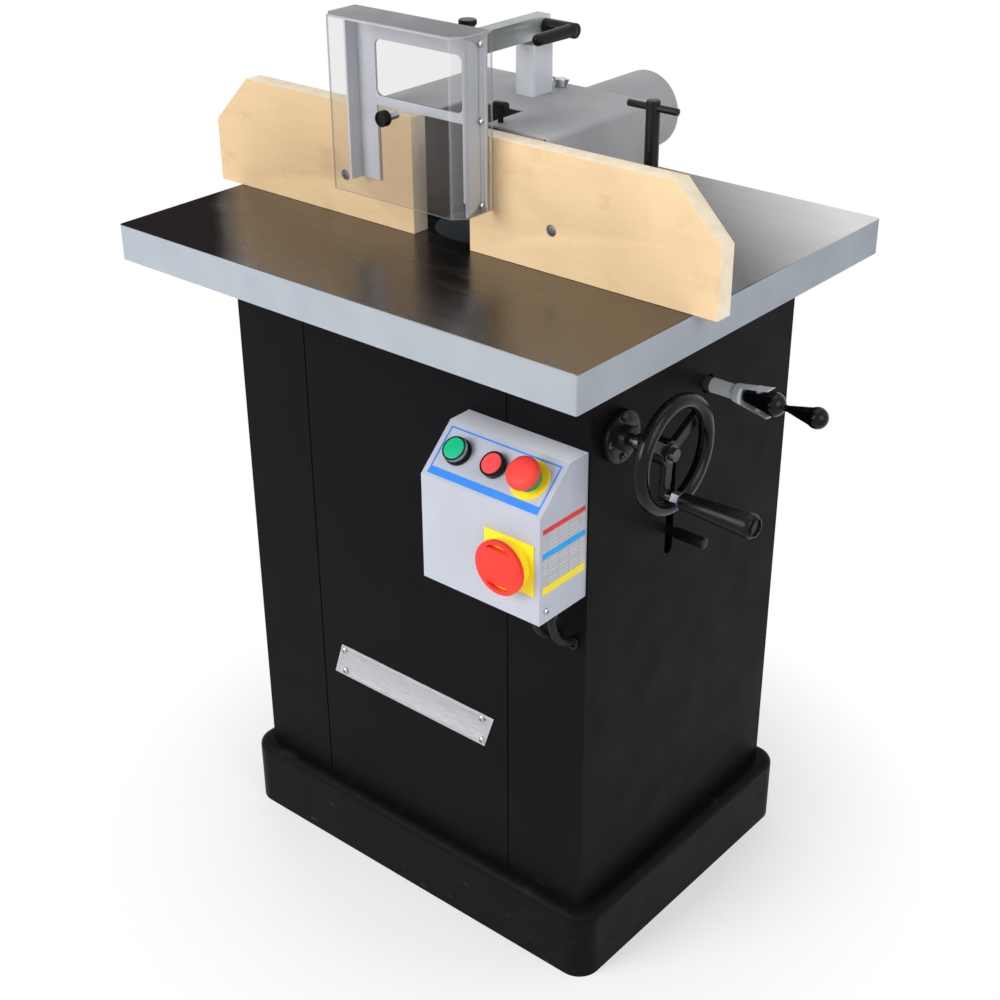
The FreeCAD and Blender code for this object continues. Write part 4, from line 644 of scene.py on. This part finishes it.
addPlate({"name": "namePlate", "low": (-133.5, -209.5, 279), "high": (133.5, -207.5, 328), "slant": 16,
          "rim": 5, "sunk": 0.7, "edge": 0.3})

# control box: places on the sloping face are x, distance down it and height off it
slope = {"tilt": 43.28, "y": -240, "z": 747, "buttonsDown": 33}
slopeTurn = (slope["tilt"], 0, 0)


def slopePoint(x, down, out=0):
    run, rise = math.cos(math.radians(slope["tilt"])), math.sin(math.radians(slope["tilt"]))
    return x, slope["y"] - run * down - rise * out, slope["z"] - rise * down + run * out


def onSlope(piece, x, node, *names, **options):
    moved(piece, slopePoint(x, slope["buttonsDown"]), slopeTurn)
    return fitted(smooth(piece, angle=40), node, *names, **options)


# a ring with a bore: stations run up the outside, then the bore is cut by bridging two inset faces
def addRing(name, stations, bore):
    ring = addTurned(name, stations)
    for end, radius in (stations[0], stations[-1]):
        pickFaces(ring, lambda at, turn: abs(at.z - end) < near["seam"] and at.xy.length < near["axis"])
        inset(radius - bore)
        bpy.ops.object.mode_set(mode="OBJECT")
    pickFaces(ring, lambda at, turn: at.xy.length < near["axis"] and abs(turn.z) > facing["full"])
    bpy.ops.mesh.bridge_edge_loops()
    return editDone(ring)


# the push buttons: stations are (height off the slope, radius)
buttons = {
    "start": {"x": 140.5, "bore": 13.3, "base": ((0, 16), (0.6, 16.4), (4.6, 16.4), (5.4, 15.8)),
              "ring": ((5.4, 14.6), (6, 15), (12.4, 15), (13, 14.6)),
              "cap": ((-14, 13), (12.6, 13), (13.3, 12.4), (13.6, 10.5))},
    "stop": {"x": 193, "bore": 12.8, "ring": ((0, 14.6), (0.6, 15), (8.2, 15), (9, 14.2)),
             "cap": ((-14, 12.5), (8.7, 12.5), (9.3, 12), (9.6, 10))},
    "estop": {"x": 243, "bore": 8.3, "ring": ((1.6, 15), (7.4, 15), (8, 14.4)),
              "disc": ((0, 24), (1.2, 24), (1.6, 23.6)),
              "head": ((-14, 8), (14, 8), (14.05, 17), (14.8, 18.8), (16.4, 20), (19.4, 20), (21.8, 19.3),
                       (23.8, 17.4), (25, 14.2), (25.7, 10), (26, 5))},
}


def addButtons():
    start, stop, estop = buttons["start"], buttons["stop"], buttons["estop"]
    onSlope(addRing("startBase", start["base"], start["bore"]), start["x"], "button_bezels")
    ring = onSlope(addRing("startRing", start["ring"], start["bore"]), start["x"], "button_bezels",
                   "bright_steel", "black_plastic", slot="bright_steel")
    outward = Vector(slopePoint(0, 0, 1)) - Vector(slopePoint(0, 0))
    for face in ring.data.polygons:
        face.material_index = int(face.normal.dot(outward) > facing["some"])
    onSlope(addTurned("startCap", start["cap"]), start["x"], "start_button")
    onSlope(addRing("stopRing", stop["ring"], stop["bore"]), stop["x"], "button_bezels")
    onSlope(addTurned("stopCap", stop["cap"]), stop["x"], "stop_button", "stopRed")
    onSlope(addRing("estopRing", estop["ring"], estop["bore"]), estop["x"], "button_bezels", "discGreen",
            slot="green_plastic")
    onSlope(addRing("estopDisc", estop["disc"], estop["bore"]), estop["x"], "legend_plates")
    onSlope(addTurned("estopHead", estop["head"]), estop["x"], "estop_button", "headRed")


addButtons()


# yellow card behind the main switch, and the round boss that the dial stands on
def addCard(settings):
    card = addBlock("switchCard", settings["low"], settings["high"])
    pickFaces(card, lambda at, turn: turn.y < -facing["some"])
    inset(settings["rim"])
    drawOut(settings["step"])
    editDone(card)
    fitted(rounded(card, settings["edge"]), "legend_plates")


def addBoss(settings):
    dial = jointAt("switch_turn")
    boss = addRing("switchBoss", settings["stations"], settings["bore"])
    moved(boss, (dial.x, settings["foot"], dial.z), front)
    fitted(smooth(boss, angle=40), "legend_plates")


addCard({"low": (201.5, -293.1, 600), "high": (271.5, -291.5, 664), "rim": 1.5, "step": 0.4, "edge": 0.3})
addBoss({"stations": ((0, 30), (10.8, 30), (12, 28.8)), "bore": 5.05, "foot": -293.5})


# printed frame on the sloping face: thin lines and a wide foot band
def addLineFrame(settings):
    line, band = settings["line"], settings["band"]
    left, right = settings["x"]
    foot, head = -settings["down"][1], -settings["down"][0]
    lines = addBlock("lineFrame", (left, foot, -settings["sunk"]), (right, head, settings["thick"]))
    pickFaces(lines, lambda at, turn: abs(turn.z) > facing["some"])
    inset(line)
    pickPoints(lines, lambda at: abs(at.y - foot - line) < near["axis"]
               and left + line / 2 < at.x < right - line / 2)
    bpy.ops.transform.translate(value=(0, (band - line) * mm, 0))
    pickFaces(lines, lambda at, turn: abs(turn.z) > facing["some"] and foot + band < at.y < head - line
              and abs(at.x - (left + right) / 2) < near["axis"])
    bpy.ops.mesh.bridge_edge_loops()
    editDone(lines)
    moved(lines, slopePoint(0, 0), slopeTurn)
    fitted(lines, "control_box", "lineBlue", slot="box_grey", stands=False)


addLineFrame({"x": (113.5, 272.5), "down": (6.5, 66.7), "line": 2, "band": 9.2, "thick": 0.25, "sunk": 0.2})


# ruled card on the box's right side: bands of colour, rows left empty
def addChart(settings):
    chart = addBlock("sideChart", settings["low"], settings["high"])
    alone(chart)
    bpy.ops.object.mode_set(mode="EDIT")
    for height, finish in settings["bands"][:-1]:
        bpy.ops.mesh.select_all(action="SELECT")
        bpy.ops.mesh.bisect(plane_co=(0, 0, height * mm), plane_no=(0, 0, 1))
    editDone(chart)
    names = [finish for height, finish in settings["bands"]]
    fitted(chart, "control_box", *names, slot="box_grey", stands=False)
    for face in chart.data.polygons:
        face.material_index = next(index for index, (height, finish) in enumerate(settings["bands"])
                                   if face.center.z / mm >= height - near["seam"])


addChart({"low": (278.8, -286.3, 601.3), "high": (279.3, -211.3, 683.6),
          "bands": ((677.4, "bandRed"), (654.3, "ruledCard"), (646.1, "bandBlue"), (611, "ruledCard"),
                    (601.3, "yellow_plastic"))})
print("control box dressed")


# a cable drawn as a smooth curve through its route
def addCable(name, route, settings):
    line = bpy.data.curves.new(name, "CURVE")
    line.dimensions = "3D"
    line.bevel_depth = settings["diameter"] / 2 * mm
    line.bevel_resolution = 6
    line.resolution_u = 24
    line.use_fill_caps = True
    spline = line.splines.new("NURBS")
    spline.points.add(len(route) - 1)
    for point, place in zip(spline.points, route):
        point.co = (*(value * mm for value in place), 1)
    spline.order_u = 3
    spline.use_endpoint_u = True
    cable = bpy.data.objects.new(name, line)
    bpy.context.scene.collection.objects.link(cable)
    fitted(cable, "cables")


# glands with hexagon nuts, and the two cables back into the cabinet through their grommets
def addCables(settings):
    y, floor, turn = settings["y"], settings["floor"], settings["turn"]
    sleeve = addTurned("glandPattern", settings["sleeve"])
    nut = addTurned("nutPattern", settings["nut"], settings["nutSides"])
    pattern = joined([sleeve, nut], "glandPattern")
    ring = addRing("grommetPattern", settings["grommet"], settings["diameter"] / 2)
    for count, x in enumerate(settings["x"], start=1):
        gland = copied(pattern, f"gland{count}", (x, y, floor))
        fitted(smooth(gland), "cable_glands")
        grommet = copied(ring, f"grommet{count}", (x, settings["wall"], turn), front)
        fitted(smooth(grommet, angle=50), "cables", "black_plastic", slot="black_plastic", stands=False)
        addCable(f"cable{count}", [(x, y, floor), (x, y, turn), (x, settings["end"], turn)], settings)
    bpy.data.objects.remove(pattern)
    bpy.data.objects.remove(ring)


addCables({"x": (238, 263), "y": -251.5, "floor": 564, "turn": 494, "wall": -207.5, "end": -187.5,
           "diameter": 10, "length": 0.111, "nutSides": 6,
           "sleeve": ((-16, 6.4), (-14.6, 8.2), (-13, 8.8), (-6, 9)),
           "nut": ((-6, 10.2), (-5.2, 11), (-0.6, 11), (0, 10.4)),
           "grommet": ((0, 8.5), (1.6, 9), (3.2, 8), (3.6, 6.6))})
print("glands and cables set")


# knob with ribs round its rim, standing on z = 0: two of every four side faces are sunk
def addKnob(name, settings):
    sides = settings["ribs"] * 4
    low, high = settings["ribbed"]
    knob = addTurned(name, settings["stations"], sides)
    pickFaces(knob, lambda at, turn: low < at.z < high and abs(turn.z) < facing["hardly"] and
              int(math.degrees(math.atan2(at.y, at.x)) % 360 / (360 / sides)) % 4 < 2)
    drawOut(-settings["sunk"])
    return smooth(editDone(knob), angle=35)


# picks the end face of a round piece that stands on z = 0
def pickEnd(piece, stations):
    top = stations[-1][0] - near["axis"]
    pickFaces(piece, lambda at, turn: turn.z > facing["full"] and at.z > top)


def addArmKnob(settings):
    axis = jointAt("arm_knob_turn")
    fitted(moved(addKnob("armKnob", settings), (axis.x, axis.y, settings["foot"])), "arm_knob")


# pull knob with a dished end, on a bright sleeve
def addPullKnob(settings):
    axis = jointAt("guard_knob_turn")
    knob = addKnob("pullKnob", settings)
    pickEnd(knob, settings["stations"])
    inset(settings["rim"])
    drawOut(-settings["dish"])
    editDone(knob)
    moved(knob, (axis.x, settings["foot"], axis.z), front)
    fitted(smooth(knob, angle=35), "guard_knob", "black_plastic", "bright_steel")
    for face in knob.data.polygons:
        face.material_index = int(face.center.y > settings["sleeveEnd"] * mm)


def addBoardKnobs(settings):
    pattern = addKnob("knobPattern", settings)
    for side in ("left", "right"):
        axis = jointAt(f"board_knob_{side}_turn")
        place = (axis.x, settings["foot"], axis.z)
        knob = copied(pattern, f"boardKnob{side.capitalize()}", place, backward)
        fitted(smooth(knob, angle=35), f"fence_knob_{side}")
    bpy.data.objects.remove(pattern)


addArmKnob({"ribs": 14, "sunk": 0.6, "ribbed": (13.3, 17.5), "foot": 1131.5,
            "stations": ((0, 3), (6.5, 3), (6.51, 6.4), (9, 7), (12.4, 9.6), (13.2, 10.5), (17.6, 10.5),
                         (18.5, 9.4))})
addPullKnob({"ribs": 12, "sunk": 0.6, "ribbed": (17.8, 25.2), "foot": -167.7, "sleeveEnd": -184,
             "rim": 1.6, "dish": 1.6,
             "stations": ((0, 4.5), (13, 4.5), (13.01, 3), (16.6, 3), (16.61, 7.6), (17.6, 9), (25.4, 9),
                          (26.6, 8))})
addBoardKnobs({"ribs": 8, "sunk": 1.6, "ribbed": (6.2, 13.4), "foot": -95.4,
               "stations": ((0, 9), (4, 9), (5, 13), (6, 14), (13.6, 14), (15, 12.6))})


# turning grip with a ring recess in its end, and the nut at its root
def addGrip(settings):
    axis = jointAt("grip_spin")
    grip = addTurned("wheelGrip", settings["stations"])
    pickEnd(grip, settings["stations"])
    for rim, rise in settings["recess"]:
        inset(rim)
        drawOut(rise)
    editDone(grip)
    moved(grip, (settings["foot"], axis.y, axis.z), rightward)
    fitted(smooth(grip, angle=35), "handwheel_grip")
    nut = addTurned("gripNut", settings["nut"], settings["nutSides"])
    moved(nut, (settings["nutFoot"], axis.y, axis.z), rightward)
    fitted(smooth(nut, angle=25), "handwheel", "boltSteel", slot="bright_steel", stands=False)


addGrip({"foot": 372.3, "nutFoot": 360.3, "nutSides": 6, "recess": ((3.4, -1.8), (1.6, 1.5)),
         "stations": ((0, 9.2), (1, 10), (20, 10.6), (62, 12.8), (85, 14), (90, 13.6), (92.2, 12),
                      (93, 10)),
         "nut": ((0, 8), (1, 9), (10, 9), (11, 8))})
print("knobs and grip made")


# small stop knob on the hood's front lip
def addLipKnob(settings):
    stem = addTurned("lipStem", settings["stem"], settings["stemSides"])
    grip = addBlock("lipKnob", settings["low"], settings["high"])
    pickFaces(grip, lambda at, turn: turn.z > facing["some"])
    inset(settings["rim"])
    drawOut(settings["rise"])
    editDone(grip)
    knob = joined([rounded(grip, settings["edge"], 3), smooth(stem)], "lipKnob")
    fitted(moved(knob, settings["at"]), "hood", "black_plastic", slot="black_plastic", stands=False)


addLipKnob({"at": (52, -84, 1043.5), "low": (-9, -5, 10), "high": (9, 5, 22), "rim": 1.2, "rise": 1.5,
            "edge": 1.4, "stem": ((0, 3.2), (8, 3.2), (8.01, 5), (10, 5)), "stemSides": 24})


# rays that meet the eye straight, in a mirror or through the clear sheet
def seenRays(tree):
    path = tree.nodes.new("ShaderNodeLightPath")
    total = path.outputs["Is Camera Ray"]
    for name in ("Is Glossy Ray", "Is Transmission Ray"):
        either = tree.nodes.new("ShaderNodeMath")
        either.operation = "MAXIMUM"
        tree.links.new(total, either.inputs[0])
        tree.links.new(path.outputs[name], either.inputs[1])
        total = either.outputs[0]
    return total


# pale floor: it takes the shadow near the plinth and runs out to white
def floorFinish(settings):
    material = bpy.data.materials.new("paleFloor")
    material.use_nodes = True
    tree = material.node_tree
    shader = tree.nodes["Principled BSDF"]
    pale = settings["pale"]
    shader.inputs["Base Color"].default_value = (pale, pale, pale, 1)
    shader.inputs["Roughness"].default_value = settings["rough"]
    shader.inputs["Specular IOR Level"].default_value = 0.0
    glow = tree.nodes.new("ShaderNodeEmission")
    place = tree.nodes.new("ShaderNodeNewGeometry")
    distance = tree.nodes.new("ShaderNodeVectorMath")
    distance.operation = "LENGTH"
    tree.links.new(place.outputs["Position"], distance.inputs[0])
    fade = tree.nodes.new("ShaderNodeMapRange")
    for key, value in (("From Min", settings["near"]), ("From Max", settings["far"]),
                       ("To Min", settings["least"]), ("To Max", 1.0)):
        fade.inputs[key].default_value = value
    tree.links.new(distance.outputs["Value"], fade.inputs["Value"])
    share = tree.nodes.new("ShaderNodeMath")
    share.operation = "MULTIPLY"
    tree.links.new(seenRays(tree), share.inputs[0])
    tree.links.new(fade.outputs["Result"], share.inputs[1])
    blend = tree.nodes.new("ShaderNodeMixShader")
    tree.links.new(share.outputs[0], blend.inputs[0])
    tree.links.new(shader.outputs[0], blend.inputs[1])
    tree.links.new(glow.outputs[0], blend.inputs[2])
    tree.links.new(blend.outputs[0], tree.nodes["Material Output"].inputs["Surface"])
    return material


def addFloor(settings):
    alone(None)
    bpy.ops.mesh.primitive_plane_add(size=settings["size"])
    floor = settled("floor")
    floor.data.materials.append(floorFinish(settings))


# white surroundings, dimmer as a light than to the eye
def setWorld(settings):
    world = bpy.data.worlds.new("studio")
    bpy.context.scene.world = world
    world.use_nodes = True
    tree = world.node_tree
    background = tree.nodes["Background"]
    background.inputs["Color"].default_value = (1, 1, 1, 1)
    level = tree.nodes.new("ShaderNodeMapRange")
    level.inputs["To Min"].default_value = settings["asLight"]
    level.inputs["To Max"].default_value = settings["asSeen"]
    tree.links.new(seenRays(tree), level.inputs["Value"])
    tree.links.new(level.outputs["Result"], background.inputs["Strength"])


# lamps: places and sizes in metres, power in watts
lamps = {
    "keyLamp": {"at": (-1.2, -3.4, 2.2), "size": 2.2, "power": 110},
    "sideLamp": {"at": (3.0, -0.6, 2.0), "size": 2.0, "power": 35},
    "topLamp": {"at": (0.2, 0.4, 3.6), "size": 2.4, "power": 15},
}
lampAim = Vector((0, 0, 0.65))


def addLamps():
    for name, lamp in lamps.items():
        light = bpy.data.lights.new(name, "AREA")
        light.size = lamp["size"]
        light.energy = lamp["power"]
        holder = bpy.data.objects.new(name, light)
        bpy.context.scene.collection.objects.link(holder)
        holder.location = lamp["at"]
        holder.rotation_euler = (lampAim - Vector(lamp["at"])).to_track_quat("-Z", "Y").to_euler()


# camera: place in metres; heading, downward tilt and roll in degrees
def addCamera(settings):
    lens = bpy.data.cameras.new("camera")
    lens.lens = settings["lens"]
    lens.sensor_width = settings["sensor"]
    camera = bpy.data.objects.new("camera", lens)
    bpy.context.scene.collection.objects.link(camera)
    camera.matrix_world = (Matrix.Translation(settings["at"])
                           @ Matrix.Rotation(math.radians(settings["heading"]), 4, "Z")
                           @ Matrix.Rotation(math.radians(90 - settings["down"]), 4, "X")
                           @ Matrix.Rotation(math.radians(settings["roll"]), 4, "Z"))
    bpy.context.scene.camera = camera


addFloor({"size": 40, "pale": 0.95, "rough": 0.9, "near": 0.33, "far": 0.6, "least": 0.45})
setWorld({"asLight": 0.42, "asSeen": 1.0})
addLamps()
addCamera({"lens": 59.9, "sensor": 36, "at": (1.2463, -1.5012, 1.5678), "heading": 40.22, "down": 28.59,
           "roll": -0.32})
bpy.context.scene.view_settings.view_transform = "Standard"
print("floor, light and camera set")
